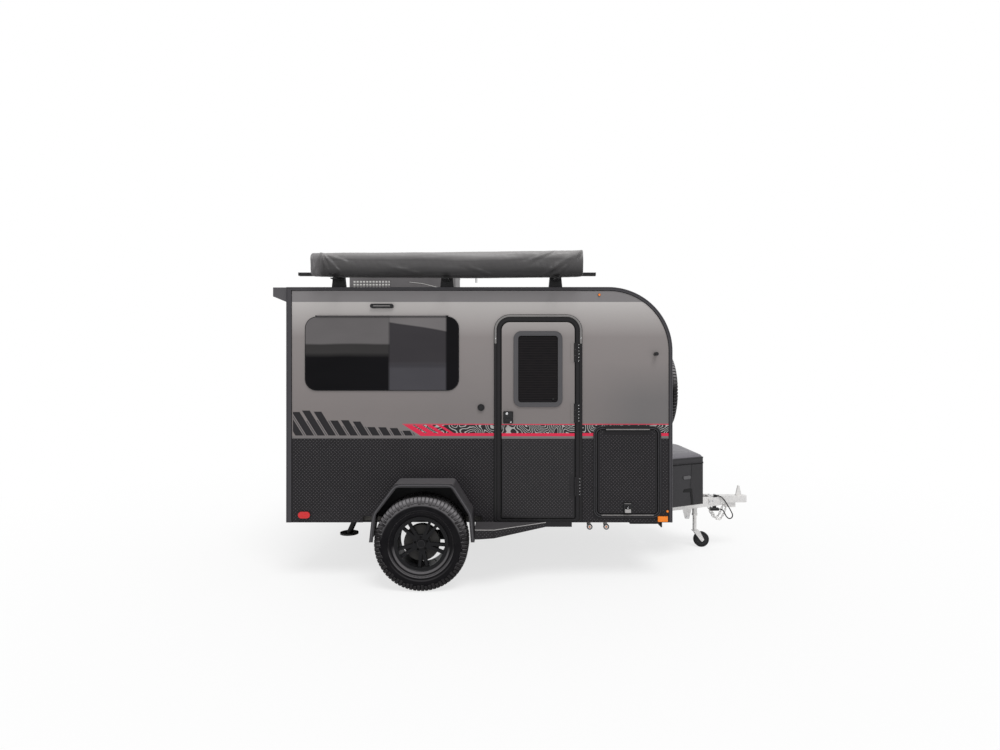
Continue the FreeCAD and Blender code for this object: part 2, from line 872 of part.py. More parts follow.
def jack():
    """The tongue jack with its crank, down to the pin of its caster."""
    low, high = V(jack_x, 0, jack_tube_bottom), V(jack_x, 0, jack_top)
    tube = rod(jack_tube, low, high)
    inner = rod(jack_inner, V(jack_x, 0, yoke_top + fit), low)
    pin = rod(king_pin, V(jack_x, 0, yoke_bottom - fit), V(jack_x, 0, yoke_top + fit))
    head = rod(jack_head, high - V(0, 0, jack_head_height), high)
    flange = block((jack_x - jack_flange / 2, jack_x + jack_flange / 2),
                   (-tongue_line(jack_x + jack_flange / 2, tongue_rail_width),
                    tongue_line(jack_x + jack_flange / 2, tongue_rail_width)),
                   (rail_top - jack_flange_thickness, rail_top))
    collar_top = V(jack_x, 0, rail_bottom - jack_collar_drop)
    collar = rod(jack_collar, collar_top - V(0, 0, jack_collar_height), collar_top)
    crank_z = jack_top - jack_head_height / 2
    grip_start = V(jack_x, crank_reach + crank_grip, crank_z - crank_throw)
    grip_end = grip_start + V(0, crank_grip_length, 0)
    crank = round_bar([V(jack_x, 0, crank_z), V(jack_x, crank_reach, crank_z),
                       V(jack_x, crank_reach, crank_z - crank_throw), grip_end],
                      crank_radius, crank_turn_share)
    return fuse([tube, inner, pin, head, flange, collar, crank,
                 rod(crank_grip, grip_start, grip_end)])


def caster_fork():
    """The fork of the jack caster, which turns on the jack's pin."""
    half = caster_width / 2 + fork_gap
    outer_half = half + fork_sheet
    yoke = block((jack_x - fork_width / 2, jack_x + fork_width), (-outer_half, outer_half),
                 (yoke_bottom, yoke_top))
    pieces = [yoke]
    for side in (-1, 1):
        outer = side * (half + fork_sheet)
        cheek = prism([V(jack_x - fork_width / 2, outer, yoke_top),
                       V(jack_x + fork_width, outer, yoke_top),
                       V(caster_x + fork_width / 2, outer, caster_radius),
                       V(caster_x, outer, caster_radius - fork_width / 2),
                       V(caster_x - fork_width / 2, outer, caster_radius)],
                      V(0, -side * fork_sheet, 0))
        pieces.append(cheek)
    bolt = rod(caster_bolt, V(caster_x, -half - 2 * fork_sheet, caster_radius),
               V(caster_x, half + 2 * fork_sheet, caster_radius))
    bore = rod(king_pin + fit, V(jack_x, 0, yoke_bottom - overrun), V(jack_x, 0, yoke_top + overrun))
    return fuse(pieces + [bolt]).cut(bore)


def caster_wheel():
    """The hub and tyre of the jack caster."""
    half = caster_width / 2
    start, end = V(caster_x, -half, caster_radius), V(caster_x, half, caster_radius)
    tread = rod(caster_radius, start, end)
    rims = [edge for edge in tread.Edges if isinstance(edge.Curve, Part.Circle)]
    tread = tread.makeFillet(caster_width / 4, rims)
    core = rod(caster_radius - caster_tyre, start - V(0, overrun, 0), end + V(0, overrun, 0))
    hub = rod(caster_radius - caster_tyre, start, end)
    reach = V(0, fork_gap - fit, 0)
    hub = hub.fuse(rod(2 * caster_bolt, start - reach, end + reach))
    bore = rod(caster_bolt + fit, start - 2 * reach, end + 2 * reach)
    return tread.cut(core), hub.cut(bore)


def tyre():
    """A tyre about the lateral axis, centred at the origin."""
    half, flange = tyre_width / 2, rim_width / 2
    seat, brim, crown = rim_seat + fit, rim_flange + fit, tyre_radius
    bead = flange - rim_flange_width - fit
    waist = (brim + crown) / 2
    shoulder = V(0, half - tyre_shoulder / 2, crown - tyre_shoulder)
    parts = ([V(0, bead, seat), V(0, bead, brim), V(0, flange, brim)],
             [V(0, flange, brim), V(0, half, waist), shoulder],
             [shoulder, V(0, half - tyre_shoulder, crown)])
    edges = []
    for sign in (1, -1):
        side, wall_arc, tread = [[V(0, sign * place.y, place.z) for place in part]
                                 for part in parts]
        edges += Part.makePolygon(side).Edges
        edges.append(Part.Arc(*wall_arc).toShape())
        edges += Part.makePolygon(tread).Edges
    edges.append(Part.makePolygon([V(0, bead, seat), V(0, -bead, seat)]).Edges[0])
    edges.append(Part.makePolygon([V(0, half - tyre_shoulder, crown),
                                   V(0, tyre_shoulder - half, crown)]).Edges[0])
    face = Part.Face(Part.Wire(Part.__sortEdges__(edges)))
    return face.revolve(V(0, 0, 0), V(0, 1, 0), 360)


def rim():
    """A five-spoke rim about the lateral axis, its face toward the right."""
    half = rim_width / 2
    barrel = rod(rim_seat, V(0, -half, 0), V(0, half, 0))
    for start in (-half, half - rim_flange_width):
        barrel = barrel.fuse(rod(rim_flange, V(0, start, 0), V(0, start + rim_flange_width, 0)))
    barrel = barrel.cut(rod(rim_seat - rim_wall, V(0, -half - overrun, 0),
                            V(0, half + overrun, 0)))
    face_y = -half + spoke_setback
    pieces = [barrel, rod(hub_radius, V(0, face_y, 0), V(0, face_y + spoke_depth, 0)),
              rod(cap_radius, V(0, face_y - cap_proud, 0), V(0, face_y, 0))]
    for angle in spoke_angles:
        for side in (-1, 1):
            end, half = rim_seat - rim_wall / 2, spoke_width / 2
            slim = half * spoke_end_share
            bar = prism([V(0, face_y, -half), V(end, face_y, -slim),
                         V(end, face_y, slim), V(0, face_y, half)], V(0, spoke_depth, 0))
            bar.rotate(V(0, 0, 0), V(0, 1, 0), -angle - side * spoke_spread)
            pieces.append(bar)
    wheel = fuse(pieces)
    for angle in spoke_angles:
        turn = math.radians(angle + stud_turn)
        place = V(stud_circle * math.cos(turn), face_y - overrun, stud_circle * math.sin(turn))
        wheel = wheel.cut(rod(stud_hole, place, place + V(0, stud_depth + overrun, 0)))
    return wheel


def drum():
    """The brake drum and hub behind the spokes, about the lateral axis."""
    inner = -rim_width / 2 + spoke_setback + spoke_depth
    shell_part = rod(drum_radius, V(0, inner, 0), V(0, inner + drum_length, 0))
    nose = rod(cap_radius, V(0, inner + drum_length, 0), V(0, inner + drum_length + cap_proud, 0))
    bore = rod(spindle_radius + fit, V(0, inner + spoke_depth / 2, 0),
               V(0, inner + drum_length + cap_proud + overrun, 0))
    return shell_part.fuse(nose).cut(bore)


def at_wheel(shape, mirrored=False):
    """Carry a wheel piece to its place on the axle."""
    copy = shape.copy()
    copy.translate(V(axle_x, -wheel_y, tyre_radius))
    return mirror(copy) if mirrored else copy


def spare(shape):
    """Carry a wheel piece to the spare carrier, its face forward."""
    copy = shape.copy()
    copy.rotate(V(0, 0, 0), V(0, 0, 1), 90)
    copy.translate(V(front_x + spare_standoff + tyre_width / 2, 0, spare_height))
    return copy


def spare_carrier():
    """The plate and post that hold the spare wheel."""
    plate = block((front_x, front_x + spare_plate_thickness),
                  (-spare_plate / 2, spare_plate / 2),
                  (spare_height - spare_plate / 2, spare_height + spare_plate / 2))
    face = front_x + spare_standoff + tyre_width / 2 + rim_width / 2 - spoke_setback - spoke_depth
    post = rod(spare_post, V(front_x, 0, spare_height), V(face, 0, spare_height))
    return fuse([plate, post])


def axle():
    """The axle tube with its trailing arms and spindles."""
    beam_x = axle_x + arm_length
    beam = block((beam_x - beam_size / 2, beam_x + beam_size / 2),
                 (-beam_half_length, beam_half_length), (rail_bottom - beam_size, rail_bottom))
    drum_inner = wheel_y + rim_width / 2 - spoke_setback - spoke_depth
    spindle_end = drum_inner - spoke_depth / 2
    pieces = [beam]
    for side in (-1, 1):
        arm = block((axle_x - arm_height / 2, beam_x + beam_size / 2),
                    (side * (beam_half_length - fit), side * (beam_half_length + arm_width)),
                    (tyre_radius - arm_height / 2, tyre_radius + arm_height / 2))
        pieces.append(arm)
        pieces.append(rod(spindle_radius, V(axle_x, side * beam_half_length, tyre_radius),
                          V(axle_x, side * spindle_end, tyre_radius)))
    return fuse(pieces)


def fender_points(y, inset):
    """The side outline of a fender, drawn in by an inset on its slopes and top."""
    rear, front = axle_x - fender_rear + inset, axle_x + fender_front - inset
    rear_shoulder = axle_x - tyre_radius - fender_rear_shoulder_gap + inset
    front_shoulder = axle_x + tyre_radius + fender_front_shoulder_gap - inset
    return [V(rear, y, fender_bottom), V(rear_shoulder, y, fender_shoulder),
            V(axle_x - fender_rear_top + inset / 2, y, fender_top - inset),
            V(axle_x + fender_front_top - inset / 2, y, fender_top - inset),
            V(front_shoulder, y, fender_shoulder), V(front, y, fender_bottom)]


def fender_prism(inset, start, end, drop):
    """A solid of the fender outline between two offsets from the centreline."""
    points = fender_points(-start, inset)
    points[0] = points[0] - V(0, 0, drop)
    points[-1] = points[-1] - V(0, 0, drop)
    solid = prism(points, V(0, start - end, 0))
    tops = [edge for edge in edges_along(solid, V(0, 1, 0))
            if edge.BoundBox.ZMin > fender_bottom + drop]
    return solid.makeFillet(fender_round, tops)


def fender():
    """A fender with a rolled outer lip, drawn on the right."""
    outer = fender_prism(0, skin_y, skin_y + fender_width, 0)
    under = fender_prism(fender_sheet, skin_y - overrun, skin_y + fender_width - fender_sheet,
                         overrun)
    mouth = fender_prism(fender_lip, skin_y, skin_y + fender_width + overrun, overrun)
    return outer.cut(under).cut(mouth)


def step_plate():
    """The tapered plate ahead of a fender, drawn on the right."""
    start = axle_x + fender_front
    outer = skin_y + fender_width
    thin = skin_y + step_thin
    plan = [V(start, -skin_y, step_rear_bottom), V(start, -outer, step_rear_bottom),
            V(start + step_square, -outer, step_rear_bottom),
            V(start + step_taper_end, -thin, step_rear_bottom),
            V(start + step_length, -thin, step_rear_bottom),
            V(start + step_length, -skin_y, step_rear_bottom)]
    solid = prism(plan, V(0, 0, entry_frame_bottom - step_rear_bottom))
    rise = step_front_bottom - step_rear_bottom
    wedge = prism([V(start + fender_lip, -outer - overrun, step_rear_bottom),
                   V(start + step_taper_end, -outer - overrun, step_rear_bottom + rise),
                   V(start + step_length + overrun, -outer - overrun, step_rear_bottom + rise),
                   V(start + step_length + overrun, -outer - overrun, step_rear_bottom - overrun),
                   V(start + fender_lip, -outer - overrun, step_rear_bottom - overrun)],
                  V(0, fender_width + 2 * overrun, 0))
    return solid.cut(wedge)


def stabilizer_rear():
    """A lowered rear stabilizer leg, drawn on the right."""
    x = rear_x + rear_leg_from_rear
    pad_top = rear_pad_height + pad_thickness
    half = leg_bracket_width / 2
    bracket = block((x - half, x + half), (-leg_half_track - leg_tube, -rail_half_track),
                    (rail_top - half, rail_top))
    leg = rod(leg_tube, V(x - leg_run, -leg_half_track, pad_top),
              V(x, -leg_half_track, rail_top - half + overrun))
    pad = rod(pad_radius, V(x - leg_run, -leg_half_track, rear_pad_height),
              V(x - leg_run, -leg_half_track, pad_top + overrun))
    return fuse([bracket, leg, pad])


def stabilizer_front():
    """A folded front stabilizer leg, drawn on the right."""
    x = front_x - front_leg_from_front
    half, half_width = leg_tube, leg_bracket_width / 2
    bracket = block((x - half_width, x + half_width), (-leg_half_track - half, -rail_half_track),
                    (rail_top - half_width, rail_top))
    leg = block((x, x + front_leg_length), (-leg_half_track - half, half - leg_half_track),
                (front_leg_height - half, front_leg_height + half))
    pad = block((x + front_leg_length, x + front_leg_length + pad_thickness),
                (-leg_half_track - 2 * half, 2 * half - leg_half_track),
                (front_leg_height - 2 * half, front_leg_height + half))
    return fuse([bracket, leg, pad])


def box_plan(z, inset):
    """The plan of the storage box at one height."""
    slope = (box_rear_half - box_front_half) / box_depth
    side = inset * math.sqrt(slope * slope + 1)
    rear, front = box_rear_x + inset, box_front_x - inset
    rear_half = box_rear_half - inset * slope - side
    front_half = box_front_half + inset * slope - side
    return [V(rear, -rear_half, z), V(front, -front_half, z),
            V(front, front_half, z), V(rear, rear_half, z)]


def box_tub():
    """The open tub of the storage box, with its hinges."""
    outer = prism(box_plan(rail_top, 0), V(0, 0, box_seam - rail_top))
    inner = prism(box_plan(rail_top + box_wall, box_wall), V(0, 0, box_seam - rail_top))
    tub = outer.cut(inner)
    return fuse([tub] + [pair[0] for pair in box_hinges()])


def box_hinges():
    """The hinges behind the lid of the storage box."""
    return [hinge_halves(V(box_rear_x - knuckle_radius, place_y, box_seam), box_hinge_length,
                         V(0, 1, 0), V(0, 0, -1), V(-1, 0, 0))
            for place_y in (-box_hinge_spread, box_hinge_spread)]


def soft_loop(points, radius):
    """A closed flat outline with every corner rounded."""
    edges, first, last = [], None, None
    count = len(points)
    for place in range(count):
        here = points[place]
        back = (points[place - 1] - here).normalize()
        ahead = (points[(place + 1) % count] - here).normalize()
        half = back.getAngle(ahead) / 2
        start, end = here + back * (radius / math.tan(half)), here + ahead * (radius / math.tan(half))
        toward = (back + ahead).normalize()
        middle = here + toward * (radius / math.sin(half) - radius)
        if last is None:
            first = start
        else:
            edges.append(Part.LineSegment(last, start).toShape())
        edges.append(Part.Arc(start, middle, end).toShape())
        last = end
    edges.append(Part.LineSegment(last, first).toShape())
    return Part.Wire(edges)


def box_lid():
    """The domed lid of the storage box."""
    low = box_seam + fit
    rim = prism(box_plan(low, 0), V(0, 0, box_rim))
    levels = []
    for share in box_crown_shares:
        rise = box_crown * math.sqrt(1 - (1 - share) ** 2)
        points = box_plan(low + box_rim + rise, box_rim_lip + box_crown_inset * share)
        levels.append(soft_loop(points, box_crown_corner))
    lid = rim.fuse(Part.makeLoft(levels, True, False))
    hollow = prism(box_plan(low - overrun, box_wall), V(0, 0, box_rim + overrun))
    return fuse([lid.cut(hollow)] + [pair[1] for pair in box_hinges()])


def roof_rail(with_brackets):
    """One roof rail with its feet, drawn on the right."""
    start, end = roof_rail_x
    outer, inner = side_y - roof_rail_inset, side_y - roof_rail_inset - roof_rail_depth
    rail = block((start, end), (-outer, -inner),
                 (roof_rail_bottom, roof_rail_bottom + roof_rail_height))
    pieces = [rail]
    for middle in (start + foot_inset, (start + end) / 2, end - foot_inset):
        top = foot_length * foot_top_share
        foot = prism([V(middle - foot_length / 2, -outer, top_z),
                      V(middle + foot_length / 2, -outer, top_z),
                      V(middle + top / 2, -outer, roof_rail_bottom),
                      V(middle - top / 2, -outer, roof_rail_bottom)], V(0, foot_depth, 0))
        pieces.append(foot)
        if with_brackets:
            half = bag_bracket_width / 2
            pieces.append(block((middle - half, middle + half),
                                (-side_y - bag_depth, -outer + overrun),
                                (bag_bottom - bag_bracket_sheet, bag_bottom)))
    return fuse(pieces)


def awning_bag():
    """The long soft bag of the awning."""
    start, end = roof_rail_x
    inner = side_y - roof_rail_inset + fit
    bag = block((start + bag_rear_inset, end - bag_front_inset), (-inner - bag_depth, -inner),
                (bag_bottom + fit, bag_bottom + bag_height))
    return bag.makeFillet(bag_round, edges_along(bag, V(1, 0, 0)))


def roof_cooler():
    """The air conditioner on the roof, with its grille of holes."""
    start = rear_x + cooler_from_rear
    body = block((start, start + cooler_length), (-cooler_half_width, cooler_half_width),
                 (top_z, top_z + cooler_height))
    top_edges = [edge for edge in body.Edges if edge.BoundBox.ZMax > top_z + cooler_height / 2]
    body = body.makeFillet(cooler_round, top_edges)
    columns = int(cooler_grille_length / cooler_hole_pitch)
    low = top_z + cooler_round
    holes = []
    for column in range(columns):
        for row in range(cooler_hole_rows):
            x = start + cooler_round + column * cooler_hole_pitch
            z = low + row * cooler_row_pitch
            for side in (-1, 1):
                face_y = side * cooler_half_width
                holes.append(block((x, x + cooler_hole),
                                   (face_y - side * cooler_hole_depth, face_y + side * overrun),
                                   (z, z + cooler_hole_height)))
    return body.cut(Part.makeCompound(holes))


def side_lamps_amber():
    """Amber marker lamps of one side, drawn on the right."""
    end = front_x - dot_front_inset
    bar = block((end - side_lamp_length, end), (-skin_y - side_lamp_depth, -skin_y),
                (side_lamp_bottom, side_lamp_bottom + side_lamp_height))
    low_z = dot_low + dot_radius
    low = rod(dot_radius, V(end, -skin_y, low_z), V(end, -skin_y - dot_depth, low_z))
    high_x, high_z = front_x - dot_high_inset, top_z - dot_below_roof
    high = rod(dot_radius, V(high_x, -side_y, high_z), V(high_x, -side_y - dot_depth, high_z))
    return [bar, low, high]


def side_lamp_red():
    """The red marker lamp of one side, drawn on the right."""
    start = rear_x + tail_from_rear
    return rounded((start, start + tail_length), (-skin_y - tail_depth, -skin_y),
                   (tail_bottom, tail_bottom + tail_height), tail_height / 2 - fit)


def stop_lamps():
    """The stop lamps on the rear wall."""
    lamp = facing_rear((-stop_half_track - stop_length / 2, stop_length / 2 - stop_half_track),
                       (stop_bottom, stop_bottom + stop_height),
                       (rear_x - tail_depth, rear_x), stop_height / 2 - fit)
    return [lamp, mirror(lamp)]


def porch_lamp():
    """The lamp above the side window."""
    middle = (window_x[0] + window_x[1]) / 2
    low = window_top + porch_over_window
    return rounded((middle - porch_length / 2, middle + porch_length / 2),
                   (-side_y - porch_depth, -side_y), (low, low + porch_height),
                   porch_height / 2 - fit)


def round_fittings():
    """The round inlet by the door and the catch that holds the open door."""
    inlet_x = entry_frame_x[0] - inlet_to_entry
    inlet = rod(inlet_radius, V(inlet_x, -side_y, inlet_height),
                V(inlet_x, -side_y - inlet_depth, inlet_height))
    catch_x, catch_z = front_x - catch_from_front, top_z - catch_below_roof
    catch = rod(catch_radius, V(catch_x, -side_y, catch_z),
                V(catch_x, -side_y - catch_depth, catch_z))
    return [inlet, catch]


def drain_fittings():
    """The drain pipes below the floor, each with an elbow that opens to the side."""
    pieces = []
    for place in drain_from_front:
        x = front_x - place
        y = -rail_half_track - 2 * drain_ring
        low = V(x, y, rail_top - drain_drop)
        mouth = low - V(0, drain_reach, 0)
        pipe = round_bar([V(x, y, rail_top), low, mouth], drain_radius, drain_turn_share)
        pieces.append(fuse([pipe, rod(drain_ring, mouth, mouth + V(0, drain_ring_height, 0))]))
    return pieces


def floor():
    """The floor panel on the chassis."""
    return block((rear_x + shell, front_x - shell), (-inner_y, inner_y), (rail_top, floor_top))


def chain_point(share):
    """A point on the hanging curve of a safety chain."""
    start_z = rail_bottom - link_length / 2 - fit
    rise = coupler_top - coupler_height - rail_bottom - link_wire
    sag = 4 * chain_sag * share * (1 - share)
    return V(tip_x - chain_setback + chain_span * share, -chain_half_track,
             start_z + rise * share - sag)


def chain_link():
    """One flat link at the origin."""
    link = block((-link_length / 2, link_length / 2), (-link_width / 2, link_width / 2),
                 (-link_wire / 2, link_wire / 2))
    hole = block((link_wire - link_length / 2, link_length / 2 - link_wire),
                 (link_wire - link_width / 2, link_width / 2 - link_wire),
                 (-link_wire, link_wire))
    return link.makeChamfer(link_width / 4, edges_along(link, V(0, 0, 1))).cut(hole)


def chain():
    """One safety chain that hangs in a curve, drawn on the right."""
    pitch = link_length - 2 * link_wire + link_overlap
    shares = [0.0]
    share = 0.0
    while share < 1:
        share += chain_step_share
        if (chain_point(share) - chain_point(shares[-1])).Length >= pitch and share <= 1:
            shares.append(share)
    links = []
    for count, share in enumerate(shares):
        ahead = chain_point(share + chain_step_share) - chain_point(share - chain_step_share)
        link = chain_link()
        if count % 2:
            link.rotate(V(0, 0, 0), V(1, 0, 0), 90)
        link.rotate(V(0, 0, 0), V(0, 1, 0), -math.degrees(math.atan2(ahead.z, ahead.x)))
        link.translate(chain_point(share))
        links.append(link)
    return fuse(links)


def route_wire(points, turn_share):
    """Straight runs joined by tangent arcs, and the radii of the arcs."""
    edges, radii, last = [], [], points[0]
    for before, here, after in zip(points, points[1:], points[2:]):
        back, ahead = (before - here), (after - here)
        shorter = min(back.Length, ahead.Length)
        turn = math.pi - back.getAngle(ahead)
        setback = turn_share * shorter
        radius = setback / math.tan(turn / 2)
        first = here + back.normalize() * setback
        second = here + ahead.normalize() * setback
        toward = (back + ahead).normalize()
        middle = here + toward * (radius / math.cos(turn / 2) - radius)
        edges.append(Part.LineSegment(last, first).toShape())
        edges.append(Part.Arc(first, middle, second).toShape())
        radii.append(radius)
        last = second
    edges.append(Part.LineSegment(last, points[-1]).toShape())
    return Part.Wire(edges), radii


def round_bar(points, radius, turn_share):
    """A round bar bent along a route."""
    wire = route_wire(points, turn_share)[0]
    circle = Part.makeCircle(radius, points[0], points[1] - points[0])
    return wire.makePipeShell([Part.Wire(circle)], True, True)


def cable():
    """The plain tube of the trailer cable along its route."""
    points = [V(*place) for place in cable_route]
    wire, radii = route_wire(points, cable_turn_share)
    tube = round_bar(points, cable_radius, cable_turn_share)
    print("cable length", round(wire.Length), "radii", [round(radius) for radius in radii],
          "volume ratio", round(tube.Volume / (math.pi * cable_radius ** 2 * wire.Length), 3))
    return tube


def cable_seats():
    """The gland that the cable leaves and the clip that parks its plug."""
    exit_point, plug_end = V(*cable_route[0]), V(*cable_route[-1])
    gland = block((exit_point.x - gland_length, exit_point.x),
                  (exit_point.y - gland_width / 2, exit_point.y + gland_width / 2),
                  (rail_top, exit_point.z + gland_width / 2))
    middle = plug_end.x - plug_length / 2
    clip = block((middle - clip_length / 2, middle + clip_length / 2),
                 (plug_end.y - plug_width / 4, plug_end.y + plug_width / 4),
                 (plug_end.z + plug_height / 2, rail_bottom))
    return [gland, clip]


def plug():
    """The trailer plug parked below the tongue."""
    end = V(*cable_route[-1])
    body = block((end.x - plug_length, end.x), (end.y - plug_width / 2, end.y + plug_width / 2),
                 (end.z - plug_height / 2, end.z + plug_height / 2))
    return body.makeFillet(plug_height / 4, edges_along(body, V(1, 0, 0)))


def both(shape):
    """A piece and its mirror image."""
    return [shape, mirror(shape)]


def build():
    """Write every piece."""
    os.makedirs("parts", exist_ok=True)
    save("chassis_rails", both(main_rail()))
    save("chassis_crossmembers", crossmembers())
    save("tongue_rails", both(tongue_rail()))
    save("coupler", fuse([coupler(), coupler_latch()]))
    save("safety_chains", both(chain()))
    save("tongue_jack", jack())
    save("jack_caster_fork", caster_fork())
    caster_tread, caster_hub = caster_wheel()
    save("jack_caster_tyre", caster_tread)
    save("jack_caster_hub", caster_hub)
    save("floor_panel", floor())
    save("side_wall_right", side_wall(True))
    save("side_wall_left", mirror(side_wall(False)))
    save("nose_and_roof", nose_and_roof())
    save("rear_wall", rear_wall())
    save("rear_hood", rear_hood())
    save("edge_trims", both(edge_band()))
    save("lower_skins", [lower_skin(True), mirror(lower_skin(False))])
    save("side_windows", both(side_window()))
    save("entry_door_frame", entry_frame())
    save("entry_door", entry_leaf())
    save("entry_door_window_frame", door_window_frame())
    save("entry_door_glass", door_window_glass())
    save("entry_door_handle", entry_handle())
    save("luggage_door_frames", both(luggage_frame()))
    save("luggage_door_right", luggage_leaf())
    save("luggage_door_left", mirror(luggage_leaf()))
    save("luggage_latch_right", luggage_latch())
    save("luggage_latch_left", mirror(luggage_latch()))
    save("hatch_frame", hatch_frame())
    save("rear_hatch", hatch_leaf())
    save("rear_hatch_latch", hatch_latch())
    save("fender_right", fender())
    save("fender_left", mirror(fender()))
    save("step_plates", both(step_plate()))
    save("axle_beam", axle())
    for side, flip in (("right", False), ("left", True)):
        save("tyre_" + side, at_wheel(tyre(), flip))
        save("rim_" + side, at_wheel(rim(), flip))
        save("brake_drum_" + side, at_wheel(drum(), flip))
    save("spare_tyre", spare(tyre()))
    save("spare_rim", spare(rim()))
    save("spare_carrier", spare_carrier())
    save("stabilizers", both(stabilizer_rear()) + both(stabilizer_front()))
    save("storage_box", box_tub())
    save("storage_box_lid", box_lid())
    save("roof_rail_right", roof_rail(True))
    save("roof_rail_left", mirror(roof_rail(False)))
    save("awning_bag", awning_bag())
    save("air_conditioner", roof_cooler())
    save("amber_lamps", side_lamps_amber() + [mirror(lamp) for lamp in side_lamps_amber()])
    save("red_lamps", both(side_lamp_red()) + stop_lamps())
    save("porch_lamp", porch_lamp())
    save("wall_fittings", round_fittings())
    save("drain_fittings", drain_fittings())
    save("cable_seats", cable_seats())
    save("trailer_cable", cable())
    save("trailer_plug", plug())


build()
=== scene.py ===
"""Looks of a small camping trailer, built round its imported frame, in metres."""
import math

import bpy
from mathutils import Matrix, Vector, noise


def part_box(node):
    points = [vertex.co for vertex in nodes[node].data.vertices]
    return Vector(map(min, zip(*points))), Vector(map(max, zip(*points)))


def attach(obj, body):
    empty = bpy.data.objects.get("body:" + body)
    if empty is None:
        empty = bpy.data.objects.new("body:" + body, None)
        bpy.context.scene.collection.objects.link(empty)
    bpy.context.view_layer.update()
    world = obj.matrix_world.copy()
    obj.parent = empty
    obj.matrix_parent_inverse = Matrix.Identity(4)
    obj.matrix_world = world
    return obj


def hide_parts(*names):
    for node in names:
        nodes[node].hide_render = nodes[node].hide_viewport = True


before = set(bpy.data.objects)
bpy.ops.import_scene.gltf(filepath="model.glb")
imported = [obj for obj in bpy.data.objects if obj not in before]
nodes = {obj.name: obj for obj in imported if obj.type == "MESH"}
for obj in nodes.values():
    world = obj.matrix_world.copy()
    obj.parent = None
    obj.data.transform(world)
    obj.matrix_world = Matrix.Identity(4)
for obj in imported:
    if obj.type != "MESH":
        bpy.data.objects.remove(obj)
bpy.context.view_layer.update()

UP = Vector((0, 0, 1))
AHEAD = Vector((1, 0, 0))
SIGN = {"right": -1, "left": 1}

# Camera, from the picture's frame
EYE = Vector((-0.2675, -5.990, 1.713))
LENS = 22.59
SENSOR = 36.0
SHIFT_DOWN = -0.008

# Heights of the painted bands on the sides, and the slant of the stripes' ends
TREAD_TOP = 1.143
SILVER_TOP = 1.163
RED_TOP = 1.187
LINES_TOP = 1.251
RED_LINE_LOW = 1.2535
RED_LINE_HIGH = 1.2600
BAND_LOW = 2.231
BAND_HIGH = 2.327
STRIPE_SLANT = 1.56
STRIPE_START = -0.897
SLASH_PITCH = 0.088
SLASH_COUNT = 4.0
CONTOUR_SCALE = 7.0
CONTOUR_COUNT = 19.0

# Body outline, its trims, the depths of its faces from the centreline, and its wheel notch
NOSE_RADIUS = 0.510
EDGE_TRIM = 0.024
POST_TRIM = 0.040
SIDE = 0.990
SKIN_FACE = 0.993
FRAME_FACE = 1.0015
LEAF_FACE = 1.002
NOTCH_REAR = 0.610
NOTCH_FRONT = 1.560
NOTCH_TOP = 0.524

# Fender's outline, its bends from its rear and front ends
FENDER_BEND = 0.594
FENDER_REAR_BEND = 0.023
FENDER_REAR_TOP = 0.195
FENDER_FRONT_BEND = 0.017
FENDER_FRONT_TOP = 0.164
LINER_INSET = 0.016
LIP_INSET = 0.012

# Tread plate
BAR_PITCH = 0.0200
BAR_LENGTH = 0.0088
BAR_WIDTH = 0.0019
BAR_HEIGHT = 0.0011
BAR_SUNK = 0.0003

# Cable
CABLE_ROUTE = (
    (1.7775, -0.060, 0.496), (1.812, -0.060, 0.496), (1.848, -0.068, 0.462),
    (1.880, -0.075, 0.408), (1.908, -0.078, 0.358), (1.927, -0.079, 0.318),
    (1.914, -0.079, 0.288), (1.886, -0.078, 0.284), (1.862, -0.077, 0.308),
    (1.847, -0.075, 0.346), (1.824, -0.074, 0.374), (1.791, -0.074, 0.374))
CABLE_DIAMETER = 0.010

# Colours that several materials share
PLATE_BLACK = (0.0110, 0.0100, 0.0115)
EDGE_GREY = (0.046, 0.044, 0.049)


def placed(name, data):
    """Put a new object with its data in the scene."""
    made = bpy.data.objects.new(name, data)
    bpy.context.scene.collection.objects.link(made)
    return made


def make_camera():
    """The camera at the picture's viewpoint."""
    camera = placed("camera", bpy.data.cameras.new("camera"))
    camera.data.sensor_width = SENSOR
    camera.data.lens = LENS
    camera.data.shift_y = SHIFT_DOWN
    camera.location = EYE
    camera.rotation_euler = (math.radians(90), 0, 0)
    bpy.context.scene.camera = camera


# Materials

def put(tree, socket, value):
    """Link a socket or set its value."""
    if isinstance(value, bpy.types.NodeSocket):
        tree.links.new(value, socket)
    else:
        socket.default_value = value


def new_node(tree, kind, *values, **named):
    """A new node, with values or links for its first inputs and for named ones."""
    made = tree.nodes.new("ShaderNode" + kind)
    for socket, value in zip(made.inputs, values):
        put(tree, socket, value)
    for name, value in named.items():
        put(tree, made.inputs[name], value)
    return made


